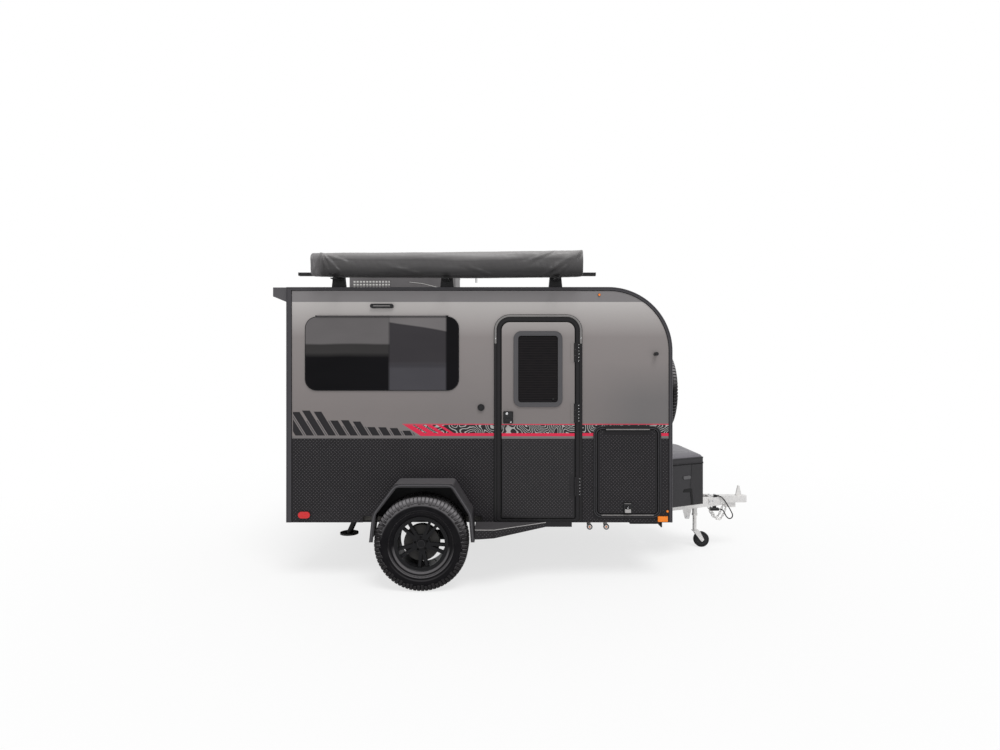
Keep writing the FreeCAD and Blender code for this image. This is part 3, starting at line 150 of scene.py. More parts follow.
class Surface:
    """A procedural material that is built up node by node."""

    def __init__(self, name, colour, roughness, metallic=0.0, coat=0.0, gloss=0.5):
        self.material = bpy.data.materials.new(name)
        self.material.use_nodes = True
        self.tree = self.material.node_tree
        self.shader = self.tree.nodes["Principled BSDF"]
        self.colour = (*colour, 1)
        self.give("Roughness", roughness)
        self.give("Metallic", metallic)
        self.give("Coat Weight", coat)
        self.give("Coat Roughness", 0.08)
        self.give("Specular IOR Level", gloss)
        self.give("Base Color", self.colour)
        place = self.node("TexCoord")
        self.place = place.outputs["Object"]
        self.normal = place.outputs["Normal"]
        self.height = None

    def give(self, name, value):
        """Link an input of the shader or set its value."""
        put(self.tree, self.shader.inputs[name], value)

    def node(self, kind, *values, **named):
        """A new node in this material."""
        return new_node(self.tree, kind, *values, **named)

    def math(self, operation, *values):
        """The result of one math node."""
        made = self.node("Math", *values)
        made.operation = operation
        return made.outputs[0]

    def times(self, first, *others):
        """The product of values."""
        for other in others:
            first = self.math("MULTIPLY", first, other)
        return first

    def parts(self, vector):
        """The x, y and z of a vector."""
        return self.node("SeparateXYZ", vector).outputs

    def stretched(self, scale):
        """The object's own place, scaled by axis."""
        made = self.node("VectorMath", self.place, scale)
        made.operation = "MULTIPLY"
        return made.outputs[0]

    def noise(self, scale, detail=3.0, stretch=(1, 1, 1)):
        """Soft noise from 0 to 1."""
        place = self.stretched(stretch)
        return self.node("TexNoise", Vector=place, Scale=scale, Detail=detail).outputs[0]

    def cells(self, scale, feature="F1"):
        """Distance in a pattern of random cells."""
        made = self.node("TexVoronoi", Vector=self.place, Scale=scale)
        made.feature = feature
        return made.outputs["Distance"]

    def span(self, value, low, high, to_low=0.0, to_high=1.0):
        """A value carried from one span to another, held at its ends."""
        return self.node("MapRange", value, low, high, to_low, to_high).outputs[0]

    def between(self, value, low, high):
        """One where a value lies between two limits, and otherwise zero."""
        return self.times(self.math("GREATER_THAN", value, low), self.math("LESS_THAN", value, high))

    def blend(self, share, colour):
        """Lay another colour over what is there."""
        mix = self.node("Mix", share)
        mix.data_type = "RGBA"
        put(self.tree, mix.inputs[6], self.colour)
        put(self.tree, mix.inputs[7], (*colour, 1))
        self.colour = mix.outputs[2]
        self.give("Base Color", self.colour)
        return self

    def mottle(self, scale, colour, strength=0.5, detail=3.0, stretch=(1, 1, 1)):
        """Let the colour drift towards another one."""
        return self.blend(self.span(self.noise(scale, detail, stretch), 0.3, 0.7, 0.0, strength), colour)

    def dust_and_top_light(self, colour, low, high, strength=1.0):
        """Lay a paler colour on what faces up, growing between two shares of uprightness: painted light from
        above, and a dusting where a material says so.
        """
        return self.blend(self.span(self.parts(self.normal)[2], low, high, 0.0, strength), colour)

    def roughen(self, scale, low, high):
        """Let the roughness vary between two values."""
        self.give("Roughness", self.span(self.noise(scale, 4.0), 0.3, 0.7, low, high))

    def relief(self, height, depth):
        """Add a bump of a real depth in metres."""
        bump = self.node("Bump", Strength=1.0, Distance=depth, Height=height)
        if self.height is not None:
            put(self.tree, bump.inputs["Normal"], self.height)
        self.height = bump.outputs[0]
        self.give("Normal", self.height)


def satin(name, colour, roughness, grain=900.0, depth=0.00005,
          metallic=0.0, coat=0.0, drift=0.25, gloss=0.22):
    """A fine-grained coating with soft shifts of tone and gloss."""
    surface = Surface(name, colour, roughness, metallic, coat, gloss)
    lighter = tuple(min(1.0, part * 1.35 + 0.004) for part in colour)
    surface.mottle(2.3, lighter, drift)
    surface.roughen(7.0, roughness * 0.85, min(1.0, roughness * 1.15))
    surface.relief(surface.noise(grain, 2.0), depth)
    return surface


def silver(name, colour):
    """Silver paint before its tones."""
    return Surface(name, colour, 0.36, 0.25, 0.15, 0.3)


def lacquer(surface):
    """The soft gloss and the orange peel of the silver paint."""
    surface.roughen(5.0, 0.30, 0.42)
    surface.relief(surface.noise(260.0, 2.0), 0.00004)
    return surface


def side_tones(surface, x, z):
    """Paler silver toward the roof as a painted highlight, darker low ahead of the door as painted shade, and
    the band under the roof.
    """
    surface.mottle(0.8, (0.205, 0.178, 0.172), 0.6)
    surface.mottle(1.7, (0.160, 0.150, 0.150), 0.4)
    # Painted highlight: the silver grows paler toward the roof.
    surface.blend(surface.span(z, 1.35, 2.0, 0.0, 0.42), (0.30, 0.275, 0.27))
    surface.blend(surface.span(z, 1.95, 2.24, 0.0, 0.70), (0.54, 0.52, 0.51))
    # Painted shade: darker silver low ahead of the door.
    low_front_shade = surface.times(surface.span(x, 0.30, 0.85), surface.span(z, 1.75, 1.45))
    surface.blend(surface.times(low_front_shade, 0.65), (0.125, 0.122, 0.124))
    surface.blend(surface.between(z, BAND_LOW, BAND_HIGH + EDGE_TRIM), (0.190, 0.181, 0.184))


def side_stripes(surface, x, z):
    """The black band with its contour lines, and its red bars and lines."""
    slanted = surface.math("ADD", x, surface.times(z, STRIPE_SLANT))
    along = surface.math("SUBTRACT", slanted, STRIPE_START + STRIPE_SLANT * SILVER_TOP)
    striped = surface.math("GREATER_THAN", along, 0.0)
    zone = surface.times(striped, surface.between(z, SILVER_TOP, LINES_TOP))
    contours = surface.math("FRACT", surface.times(surface.noise(CONTOUR_SCALE, 1.0), CONTOUR_COUNT))
    surface.blend(zone, (0.010, 0.010, 0.011))
    surface.blend(surface.times(zone, surface.between(contours, 0.32, 0.62)), (0.38, 0.37, 0.36))
    slash = surface.math("DIVIDE", along, SLASH_PITCH)
    share = surface.span(slash, 0.0, SLASH_COUNT, 0.86, 0.30)
    inside_bar = surface.math("LESS_THAN", surface.math("FRACT", slash), share)
    bars = surface.times(inside_bar, surface.math("LESS_THAN", slash, SLASH_COUNT), zone)
    low_line = surface.times(striped, surface.between(z, SILVER_TOP, RED_TOP))
    top_line = surface.times(striped, surface.between(z, RED_LINE_LOW, RED_LINE_HIGH))
    red = surface.math("MAXIMUM", surface.math("MAXIMUM", bars, low_line), top_line)
    surface.blend(red, (0.62, 0.016, 0.060))
    surface.blend(surface.between(z, TREAD_TOP, SILVER_TOP), (0.155, 0.145, 0.145))


def painted_side(name, tread_below):
    """Silver and stripes outside, a dark edge and a plain lining; a door's dark plate below."""
    surface = silver(name, (0.184, 0.166, 0.163))
    x, y, z = surface.parts(surface.place)
    side_tones(surface, x, z)
    side_stripes(surface, x, z)
    if tread_below:
        surface.blend(surface.math("LESS_THAN", z, TREAD_TOP), PLATE_BLACK)
    outward = surface.times(y, surface.parts(surface.normal)[1])
    surface.blend(surface.math("LESS_THAN", outward, 0.5), EDGE_GREY)
    surface.blend(surface.math("LESS_THAN", outward, -0.5), (0.200, 0.190, 0.185))
    return lacquer(surface)


def shell_paint():
    """The plain silver paint of the nose, roof and rear, over dark plate."""
    surface = silver("shell_paint", (0.200, 0.184, 0.180))
    surface.mottle(0.8, (0.240, 0.215, 0.210), 0.6)
    surface.blend(surface.math("LESS_THAN", surface.parts(surface.place)[2], TREAD_TOP), PLATE_BLACK)
    return lacquer(surface)


def tread_plate():
    """Black coated plate between its raised bars."""
    surface = Surface("tread_plate", PLATE_BLACK, 0.46, gloss=0.2)
    surface.mottle(3.0, (0.018, 0.0165, 0.0185), 0.5)
    surface.roughen(30.0, 0.36, 0.52)
    surface.relief(surface.noise(1100.0, 2.0), 0.00005)
    return surface


def step_coating():
    """The tread plate's black coating, paler on what faces up as painted light from above."""
    surface = satin("step_black", (0.0120, 0.0110, 0.0125), 0.46, 1100.0, drift=0.35, gloss=0.2)
    return surface.dust_and_top_light((0.060, 0.057, 0.060), 0.35, 0.90)


def bar_metal():
    """The bars of the tread plate, rubbed brighter than their ground."""
    surface = Surface("bar_metal", (0.075, 0.070, 0.076), 0.36)
    return surface.mottle(40.0, (0.120, 0.112, 0.119), 0.7)


def galvanised():
    """Zinc with its spangle and dull patches."""
    surface = Surface("galvanised", (0.74, 0.73, 0.72), 0.40, 0.55)
    spangle = surface.cells(75.0)
    surface.blend(surface.span(spangle, 0.1, 0.6, 0.0, 0.5), (0.46, 0.46, 0.47))
    surface.mottle(9.0, (0.84, 0.82, 0.80), 0.6)
    surface.roughen(45.0, 0.26, 0.50)
    surface.relief(spangle, 0.00012)
    return surface


def tyre_rubber():
    """Dull black rubber, paler where its walls face up, from a dusting and from painted light from above."""
    surface = Surface("tyre_rubber", (0.0048, 0.0046, 0.0056), 0.68, gloss=0.07)
    surface.mottle(16.0, (0.0085, 0.0080, 0.0090), 0.8, 5.0)
    surface.dust_and_top_light((0.112, 0.108, 0.112), 0.03, 0.19, 0.9)
    surface.roughen(24.0, 0.58, 0.82)
    surface.relief(surface.noise(520.0, 3.0), 0.00012)
    return surface


def lug_rubber():
    """Rubbed lugs, paler where they face up from a dusting and from painted light from above, but not on the
    tread or near the ground.
    """
    surface = Surface("lug_rubber", (0.0105, 0.0099, 0.0110), 0.60, gloss=0.16)
    surface.mottle(28.0, (0.022, 0.020, 0.021), 0.8, 5.0)
    upright = surface.parts(surface.normal)[2]
    off_tread = surface.span(upright, 0.98, 0.80)
    above_ground = surface.span(surface.parts(surface.place)[2], 0.16, 0.34)
    # Painted light from above, with a dusting, on faces that look up.
    dusty_and_lit = surface.times(surface.span(upright, 0.10, 0.45), surface.times(off_tread, above_ground))
    surface.blend(dusty_and_lit, (0.185, 0.178, 0.185))
    surface.relief(surface.noise(520.0, 3.0), 0.00012)
    return surface


def fender_coating():
    """Black coating, paler on what faces up as painted light from above."""
    surface = satin("fender_black", (0.024, 0.0225, 0.0250), 0.40, 700.0, 0.0001, drift=0.35, gloss=0.3)
    return surface.dust_and_top_light((0.104, 0.099, 0.104), 0.35, 0.90, 0.95)


def dark_glass():
    """Black tinted glass in two panes, with painted reflections of the sky that grow paler toward its top."""
    surface = Surface("dark_glass", (0.0020, 0.0018, 0.0026), 0.05, gloss=0.08)
    x, _, z = surface.parts(surface.place)
    wavy = surface.math("ADD", z, surface.times(surface.noise(2.2, 1.5), 0.030))
    rear = surface.span(x, -1.140, -1.160)
    front = surface.times(surface.span(x, -1.160, -1.140), surface.span(x, -0.690, -0.705))
    slanted = surface.math("ADD", wavy, surface.times(x, 0.15))
    # Painted reflections of the sky on each pane.
    for pane, height, low, high, colour in (
            (front, z, 1.70, 1.74, (0.040, 0.037, 0.041)), (front, z, 1.76, 1.70, (0.062, 0.060, 0.068)),
            (rear, wavy, 1.80, 1.84, (0.036, 0.034, 0.034)), (rear, wavy, 1.90, 1.915, (0.130, 0.122, 0.124)),
            (front, slanted, 1.905, 1.915, (0.165, 0.155, 0.157))):
        surface.blend(surface.times(pane, surface.span(height, low, high)), colour)
    return surface.mottle(1.3, (0.012, 0.011, 0.014), 0.20, 2.0, (1.0, 1.0, 3.0))


def blind_glass():
    """The door's dark pane with a blind behind it."""
    surface = Surface("blind_glass", (0.0040, 0.0035, 0.0046), 0.10, gloss=0.09)
    fold = surface.math("FRACT", surface.times(surface.parts(surface.place)[2], 52.0))
    surface.blend(surface.between(fold, 0.0, 0.22), (0.016, 0.014, 0.015))
    return surface.mottle(14.0, (0.012, 0.0095, 0.010), 0.5, 2.0, (1.0, 1.0, 6.0))


def vinyl():
    """Coated cloth of the awning's bag, with a fine weave; paler at its top and on its rear end as painted
    light, and darker low down as painted shade.
    """
    surface = Surface("bag_vinyl", (0.0095, 0.0085, 0.0092), 0.42, gloss=0.40)
    x, y, z = surface.parts(surface.place)
    drift = surface.math("ADD", z, surface.times(surface.noise(5.0, 3.0, (0.4, 1, 1)), 0.05))
    # Painted light from above: paler toward the top, which leaves the lower part darker as painted shade.
    surface.blend(surface.span(drift, 2.475, 2.560), (0.062, 0.059, 0.060))
    surface.blend(surface.span(drift, 2.570, 2.628), (0.270, 0.262, 0.260))
    # Painted light on the flap at the rear end.
    surface.blend(surface.span(x, -1.640, -1.700, 0.0, 0.6), (0.150, 0.144, 0.148))
    warp = surface.math("SINE", surface.times(x, 2600.0))
    weft = surface.math("SINE", surface.times(surface.math("ADD", y, z), 2600.0))
    surface.roughen(18.0, 0.38, 0.56)
    surface.relief(surface.noise(46.0, 4.0, (0.4, 1, 1)), 0.0012)
    surface.relief(surface.times(warp, weft), 0.00006)
    surface.give("Sheen Weight", 0.12)
    return surface


def moulded(name, colour, roughness, grain=420.0, depth=0.00022, dust_and_sheen_above=None):
    """Moulded plastic with its pebbled grain, paler above a height if one is given, as a dusting and a
    painted sheen from above.
    """
    surface = Surface(name, colour, roughness, gloss=0.3)
    surface.mottle(5.0, tuple(part * 1.5 + 0.004 for part in colour), 0.35)
    if dust_and_sheen_above is not None:
        # Paler above the height: a dusting and a painted sheen from above.
        surface.blend(surface.span(surface.parts(surface.place)[2], dust_and_sheen_above, dust_and_sheen_above + 0.006),
                      tuple(part * 6.2 for part in colour))
    surface.relief(surface.cells(grain, "SMOOTH_F1"), depth)
    return surface


def lens(name, colour):
    """A clear coloured lens with its prisms."""
    surface = Surface(name, colour, 0.22, 0.0, 0.35, 0.3)
    x, _, z = surface.parts(surface.place)
    ridge = surface.times(surface.math("SINE", surface.times(x, 1400.0)),
                          surface.math("SINE", surface.times(z, 1400.0)))
    surface.blend(surface.span(ridge, -1.0, 1.0, 0.0, 0.35), tuple(part * 0.45 for part in colour))
    surface.relief(ridge, 0.0004)
    # A faint glow in the lens colour; the drain valves share this material, so on them it is painted light,
    # as they are no lamp.
    surface.give("Emission Color", (*colour, 1))
    surface.give("Emission Strength", 0.12)
    return surface


def make_materials():
    """Every material, by a short name."""
    made = {
        "side": painted_side("side_paint", False),
        "door": painted_side("door_paint", True),
        "shell": shell_paint(),
        "tread": tread_plate(),
        "step": step_coating(),
        "bars": bar_metal(),
        "zinc": galvanised(),
        "tyre": tyre_rubber(),
        "lugs": lug_rubber(),
        "caster": satin("caster_rubber", (0.010, 0.010, 0.011), 0.6),
        "glass": dark_glass(),
        "blind": blind_glass(),
        "vinyl": vinyl(),
        "chassis": satin("chassis_black", (0.012, 0.012, 0.013), 0.48, 300.0, 0.0001),
        "trim": satin("trim_black", (0.0105, 0.0098, 0.0110), 0.38, 700.0, 0.0001),
        "fender": fender_coating(),
        "drip": satin("drip_grey", (0.190, 0.182, 0.180), 0.36, 500.0),
        "edge": satin("edge_grey", EDGE_GREY, 0.42, 700.0, 0.00008),
        "gloss": satin("gloss_black", (0.004, 0.004, 0.0045), 0.22, 200.0, 0.00002),
        "hood": satin("hood_paint", (0.076, 0.073, 0.078), 0.32, 260.0, 0.00004, 0.1, 0.1),
        "frame": satin("frame_grey", (0.072, 0.070, 0.075), 0.38, 500.0, 0.00006),
        "alloy": satin("alloy_black", (0.0085, 0.0085, 0.0095), 0.36, 150.0, 0.00003, gloss=0.12),
        "cast": satin("cast_drum", (0.030, 0.029, 0.028), 0.60, 160.0, 0.0004, 0.3),
        "floor": satin("floor_board", (0.090, 0.086, 0.080), 0.70, 60.0, 0.0002),
        "box": moulded("box_plastic", (0.023, 0.022, 0.0245), 0.44, dust_and_sheen_above=0.906),
        "recess": moulded("recess_plastic", (0.018, 0.017, 0.019), 0.44),
        "grip": moulded("grip_plastic", (0.085, 0.083, 0.087), 0.40),
        "plastic": moulded("black_plastic", (0.008, 0.008, 0.009), 0.42, 900.0, 0.00008),
        "cooler": moulded("cooler_plastic", (0.130, 0.125, 0.129), 0.46, 700.0, 0.0001),
        "cable": satin("cable_jacket", (0.007, 0.007, 0.0075), 0.38, 400.0),
        "pale": satin("pale_grey", (0.36, 0.35, 0.345), 0.42, 300.0, 0.00004),
        "steel": satin("bright_steel", (0.62, 0.62, 0.63), 0.22, 500.0, 0.00003, 0.95),
        "graphic": satin("graphic_film", (0.013, 0.012, 0.014), 0.34, 300.0, 0.00003),
        # Pale colour for the painted light on the roof unit's holes and crease.
        "white": satin("painted_light_white", (0.70, 0.70, 0.68), 0.25, 200.0, coat=0.6),
        "amber": lens("amber_lens", (0.86, 0.215, 0.006)),
        "red": lens("red_lens", (0.58, 0.012, 0.015)),
    }
    return {key: surface.material for key, surface in made.items()}


materials = make_materials()

NODE_FINISH = {
    "chassis": ("chassis_rails", "chassis_crossmembers", "axle_beam", "stabilizers", "spare_carrier",
                "roof_rail_right", "roof_rail_left"),
    "zinc": ("tongue_rails", "coupler", "safety_chains", "tongue_jack", "jack_caster_fork",
             "drain_fittings"),
    "caster": ("jack_caster_tyre",),
    "plastic": ("cable_seats", "entry_door_handle", "luggage_latch_right", "luggage_latch_left",
                "rear_hatch_latch", "porch_lamp", "wall_fittings", "trailer_plug", "jack_caster_hub"),
    "floor": ("floor_panel",),
    "side": ("side_wall_right", "side_wall_left"),
    "door": ("entry_door",),
    "shell": ("nose_and_roof", "rear_wall", "rear_hatch"),
    "hood": ("rear_hood",),
    "edge": ("edge_trims",),
    "trim": ("entry_door_frame", "luggage_door_frames", "hatch_frame"),
    "fender": ("fender_right", "fender_left"),
    "tread": ("lower_skins", "luggage_door_right", "luggage_door_left"),
    "step": ("step_plates",),
    "glass": ("side_windows",),
    "blind": ("entry_door_glass",),
    "frame": ("entry_door_window_frame",),
    "alloy": ("rim_right", "rim_left", "spare_rim"),
    "cast": ("brake_drum_right", "brake_drum_left"),
    "box": ("storage_box", "storage_box_lid"),
    "cooler": ("air_conditioner",),
    "amber": ("amber_lamps",),
    "red": ("red_lamps",),
}


def finish_nodes():
    """Give every carried-over node its material."""
    for key, names in NODE_FINISH.items():
        for name in names:
            for slot in nodes[name].material_slots:
                slot.material = materials[key]


# Forms

BOX_FACES = ((3, 2, 1, 0), (4, 5, 6, 7), (0, 1, 5, 4), (1, 2, 6, 5), (2, 3, 7, 6), (3, 0, 4, 7))


def flipped(faces):
    """Faces that look the other way."""
    return [tuple(reversed(face)) for face in faces]


def looking(centre, outward):
    """A frame at a centre whose Y axis looks outward."""
    turn = Vector((0, 1, 0)).rotation_difference(Vector(outward))
    return Matrix.Translation(centre) @ turn.to_matrix().to_4x4()


def round_axis(radius, turn, along):
    """A place round the Y axis."""
    return Vector((radius * math.cos(turn), along, radius * math.sin(turn)))


class Shape:
    """Vertices and faces of one piece, gathered from simple forms."""

    def __init__(self):
        self.vertices = []
        self.faces = []

    def add(self, vertices, faces):
        """Append a form."""
        start = len(self.vertices)
        self.vertices += [Vector(place) for place in vertices]
        self.faces += [tuple(start + index for index in face) for face in faces]

    def block(self, low, high):
        """A box between two corners."""
        self.add([(x, y, z) for z in (low[2], high[2])
                  for x, y in ((low[0], low[1]), (high[0], low[1]), (high[0], high[1]), (low[0], high[1]))],
                 BOX_FACES)

    def loft(self, rings, caps=True):
        """Skin a row of rings that have the same number of points."""
        count = len(rings[0])
        faces = []
        for row in range(0, (len(rings) - 1) * count, count):
            for column in range(count):
                ahead = (column + 1) % count
                faces.append((row + column, row + ahead, row + count + ahead, row + count + column))
        if caps:
            faces.append(tuple(reversed(range(count))))
            faces.append(tuple((len(rings) - 1) * count + column for column in range(count)))
        self.add([place for ring in rings for place in ring], faces)

    def lathe(self, profile, matrix, segments, caps=False):
        """Turn a profile of (along, radius) pairs about the local Y axis."""
        self.loft([[matrix @ round_axis(radius, math.tau * step / segments, along)
                    for step in range(segments)] for along, radius in profile], caps)

    def tube(self, path, radius, sides=8, squash=1.0, closed=False):
        """A round bar along a path of points."""
        rings = []
        last = len(path) - 1
        for index, place in enumerate(path):
            before, after = path[max(index - 1, 0)], path[min(index + 1, last)]
            if closed:
                before, after = path[index - 1], path[(index + 1) % len(path)]
            ahead = (Vector(after) - Vector(before)).normalized()
            side = ahead.cross(Vector((0, 1, 0)))
            if side.length < 0.1:
                side = ahead.cross(UP)
            side.normalize()
            up = ahead.cross(side)
            rings.append([Vector(place) + radius * (math.cos(math.tau * step / sides) * side
                                                    + squash * math.sin(math.tau * step / sides) * up)
                          for step in range(sides)])
        if closed:
            rings.append(rings[0])
        self.loft(rings, not closed)

    def bead(self, side, outline, depth, radius, squash=0.8, closed=True):
        """A bead along an outline of (x, z) points on one side, at a depth."""
        self.tube([(x, SIGN[side] * depth, z) for x, z in outline], radius, 6, squash, closed)

    def slab(self, outline, face, low, high):
        """A flat outline on a face, pushed from one depth to another."""
        rings = [[face @ Vector((u, v, depth)) for u, v in outline] for depth in (low, high)]
        if face.determinant() < 0:
            rings.reverse()
        self.loft(rings)

    def dome(self, centre, outward, radius, height, sides=10):
        """A low screw head or button that faces outward."""
        self.lathe([(-height, radius), (height * 0.35, radius), (height * 0.8, radius * 0.75),
                    (height, radius * 0.3)], looking(centre, outward), sides, True)

    def bolt(self, centre, outward, radius, height):
        """A hexagon head that faces outward, with its washer."""
        matrix = looking(centre, outward)
        self.lathe([(-height * 0.3, radius * 1.45), (height * 0.2, radius * 1.45)], matrix, 12, True)
        self.lathe([(height * 0.1, radius), (height * 0.85, radius), (height, radius * 0.8)],
                   matrix, 6, True)

    def piece(self, name, material, slot, body="trailer", smooth=40):
        """Make the object, and let it ride on a body."""
        mesh = bpy.data.meshes.new(name)
        mesh.from_pydata(self.vertices, [], self.faces)
        mesh.validate()
        made = placed(name, mesh)
        mesh.materials.append(materials[material])
        if smooth is not None:
            mesh.shade_smooth()
            mesh.set_sharp_from_angle(angle=math.radians(smooth))
        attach(made, body)
        return made


def arc(centre, radius, start, end, steps):
    """Points of an arc in a plane, by angles in degrees."""
    turns = [math.radians(start + (end - start) * step / steps) for step in range(steps + 1)]
    return [(centre[0] + radius * math.cos(turn), centre[1] + radius * math.sin(turn))
            for turn in turns]


def circle(centre, radius, steps):
    """Points round a circle in a plane."""
    return arc(centre, radius, 0, 360, steps)[:-1]


def rounded_rectangle(x_span, z_span, radius, steps=8, foot=None):
    """Points round a rectangle with round corners, the lower two by a foot radius if given."""
    foot = radius if foot is None else foot
    (x0, x1), (z0, z1) = x_span, z_span
    points = arc((x1 - foot, z0 + foot), foot, -90, 0, steps)
    points += arc((x1 - radius, z1 - radius), radius, 0, 90, steps)
    points += arc((x0 + radius, z1 - radius), radius, 90, 180, steps)
    return points + arc((x0 + foot, z0 + foot), foot, 180, 270, steps)


def inset_rectangle(box, inset, radius, steps=8):
    """Points round a rectangle that is drawn in from a box."""
    (x0, x1), (z0, z1) = box
    return rounded_rectangle((x0 + inset, x1 - inset), (z0 + inset, z1 - inset), radius, steps)


def spans(name, across=0):
    """The limits of a node's box along an axis and in height."""
    low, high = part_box(name)
    return (low[across], high[across]), (low.z, high.z)


def frame_of(origin, right, up, outward):
    """A matrix that carries a flat pattern onto a face."""
    matrix = Matrix((right, up, outward)).transposed().to_4x4()
    matrix.translation = origin
    return matrix


def side_face(side, depth, x=0.0, z=0.0):
    """A face of one side at a depth from the centreline, with its origin."""
    return frame_of(Vector((x, SIGN[side] * depth, z)), AHEAD, UP, Vector((0, SIGN[side], 0)))


def make_cable():
    """The trailer cable on one smooth line, with its boot at the gland."""
    curve = bpy.data.curves.new("trailer_cord", "CURVE")
    curve.dimensions = "3D"
    curve.resolution_u = 12
    curve.bevel_depth = CABLE_DIAMETER / 2
    curve.bevel_resolution = 4
    curve.use_fill_caps = True
    spline = curve.splines.new("NURBS")
    spline.points.add(len(CABLE_ROUTE) - 1)
    for point, place in zip(spline.points, CABLE_ROUTE):
        point.co = (*place, 1)
    spline.order_u = 3
    spline.use_endpoint_u = True
    cord = placed("trailer_cord", curve)
    curve.materials.append(materials["cable"])
    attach(cord, "trailer")
    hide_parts("trailer_cable")
    shape = Shape()
    turn = Matrix.Translation(Vector(CABLE_ROUTE[0])) @ Matrix.Rotation(math.radians(-90), 4, "Z")
    shape.lathe([(-0.001, 0.0085), (0.004, 0.0085), (0.006, 0.0072), (0.010, 0.0078), (0.012, 0.0066),
                 (0.016, 0.0071), (0.018, 0.0062), (0.024, 0.0056)], turn, 16, True)
    boot = shape.piece("cable_boot", "plastic", "black_plastic", "trailer", 30)


make_camera()
finish_nodes()
make_cable()


# Tread bars

def inside(u, v, u_span, v_span, margin):
    """Whether a place lies in a rectangle grown by a margin."""
    return u_span[0] - margin < u < u_span[1] + margin and v_span[0] - margin < v < v_span[1] + margin


def bars_over(u_span, v_span, keeps):
    """Centres and turns of the bars over a rectangle, where a test keeps them."""
    middle = ((u_span[0] + u_span[1]) / 2, (v_span[0] + v_span[1]) / 2)
    reach = int((u_span[1] - u_span[0] + v_span[1] - v_span[0]) / BAR_PITCH)
    step = BAR_PITCH * math.sqrt(0.5)
    found = []
    for row in range(-reach, reach + 1):
        for column in range(-reach, reach + 1):
            u = middle[0] + (row - column) * step
            v = middle[1] + (row + column) * step
            if inside(u, v, u_span, v_span, 0) and keeps(u, v):
                found.append((u, v, 45.0 if (row + column) % 2 else -45.0))
    return found


def add_bars(shape, places, face):
    """Lay a lens-shaped bar at each place on a face."""
    faces = [(0, 2, 4), (0, 4, 3), (1, 5, 2), (1, 3, 5), (2, 5, 4), (3, 4, 5), (0, 3, 1, 2)]
    if face.determinant() < 0:
        faces = flipped(faces)
    for u, v, turn in places:
        along = Vector((math.cos(math.radians(turn)), math.sin(math.radians(turn)), 0))
        across = Vector((-along.y, along.x, 0))
        base = Vector((u, v, -BAR_SUNK))
        top = Vector((0, 0, BAR_HEIGHT + BAR_SUNK))
        points = [base - along * BAR_LENGTH, base + along * BAR_LENGTH,
                  base - across * BAR_WIDTH, base + across * BAR_WIDTH,
                  base - along * BAR_LENGTH * 0.5 + top, base + along * BAR_LENGTH * 0.5 + top]
        shape.add([face @ point for point in points], faces)


def lay_tread(name, face, u_span, v_span, keeps, body="trailer"):
    """One piece with the tread bars of one face."""
    shape = Shape()
    add_bars(shape, bars_over(u_span, v_span, keeps), face)
    shape.piece(name, "bars", "tread_plate", body, None)


def under_fender(side):
    """The test for places on the skin that a fender arches over."""
    (x0, x1), (_, z1) = spans("fender_" + side)
    rise = z1 - FENDER_BEND

    def covers(x, z):
        rear = (x - x0 - FENDER_REAR_BEND) * rise / (FENDER_REAR_TOP - FENDER_REAR_BEND)
        front = (x1 - FENDER_FRONT_BEND - x) * rise / (FENDER_FRONT_TOP - FENDER_FRONT_BEND)
        return x0 < x < x1 and z < min(z1, FENDER_BEND + rear, FENDER_BEND + front)

    return covers


def fender_path(side, inset, top_inset, foot):
    """A fender's outline drawn in by insets, from its rear foot over its top to its front foot."""
    (x0, x1), (_, z1) = spans("fender_" + side)
    return [(x0 + inset, foot), (x0 + FENDER_REAR_BEND + inset, FENDER_BEND),
            (x0 + FENDER_REAR_TOP + top_inset, z1 - inset), (x1 - FENDER_FRONT_TOP - top_inset, z1 - inset),
            (x1 - FENDER_FRONT_BEND - inset, FENDER_BEND), (x1 - inset, foot)]


def fender_liner(side):
    """The plain dark skin that shows under a fender."""
    path = fender_path(side, LINER_INSET, LINER_INSET, NOTCH_TOP)
    shape = Shape()
    shape.slab(path[:1] + path[:0:-1], side_face(side, SKIN_FACE), -0.0004, 0.0008)
    shape.piece("fender_liner_" + side, "caster", "dark_trim", smooth=None)


def skin_keeps(side):
    """The test for bars on the lower skin of one side."""
    covered = under_fender(side)
    (rear, front), _ = spans("edge_trims")
    notch = ((rear + NOTCH_REAR, rear + NOTCH_FRONT), (0.0, NOTCH_TOP))
    doors = [spans("luggage_door_frames")]
    if side == "right":
        doors.append(spans("entry_door_frame"))

    def keeps(x, z):
        if not rear + POST_TRIM + BAR_LENGTH < x < front - EDGE_TRIM - BAR_LENGTH:
            return False
        if inside(x, z, *notch, BAR_LENGTH) or covered(x, z):
            return False
        return not any(inside(x, z, *door, BAR_LENGTH * 0.8) for door in doors)

    return keeps


def tread_on_skin(side):
    """The tread bars of one lower skin."""
    x_span, (low, _) = spans("lower_skins")
    lay_tread("tread_bars_" + side, side_face(side, SKIN_FACE), x_span,
              (low + BAR_LENGTH, TREAD_TOP - BAR_LENGTH * 0.8), skin_keeps(side))


def tread_on_luggage_door(side):
    """The tread bars of one luggage door, clear of its hinge and latch."""
    (x0, x1), (z0, z1) = spans("luggage_door_" + side)
    latch = spans("luggage_latch_" + side)
    middle = (x0 + x1) / 2
    hinge_drop, hinge_half = 0.045, 0.19

    def keeps(x, z):
        at_hinge = z > z1 - hinge_drop and abs(x - middle) < hinge_half
        return not at_hinge and not inside(x, z, *latch, BAR_LENGTH * 0.7)

    inset = BAR_LENGTH * 1.3
    lay_tread("luggage_bars_" + side, side_face(side, LEAF_FACE), (x0 + inset, x1 - inset),
              (z0 + inset, z1 - inset), keeps, "luggage_door_" + side)


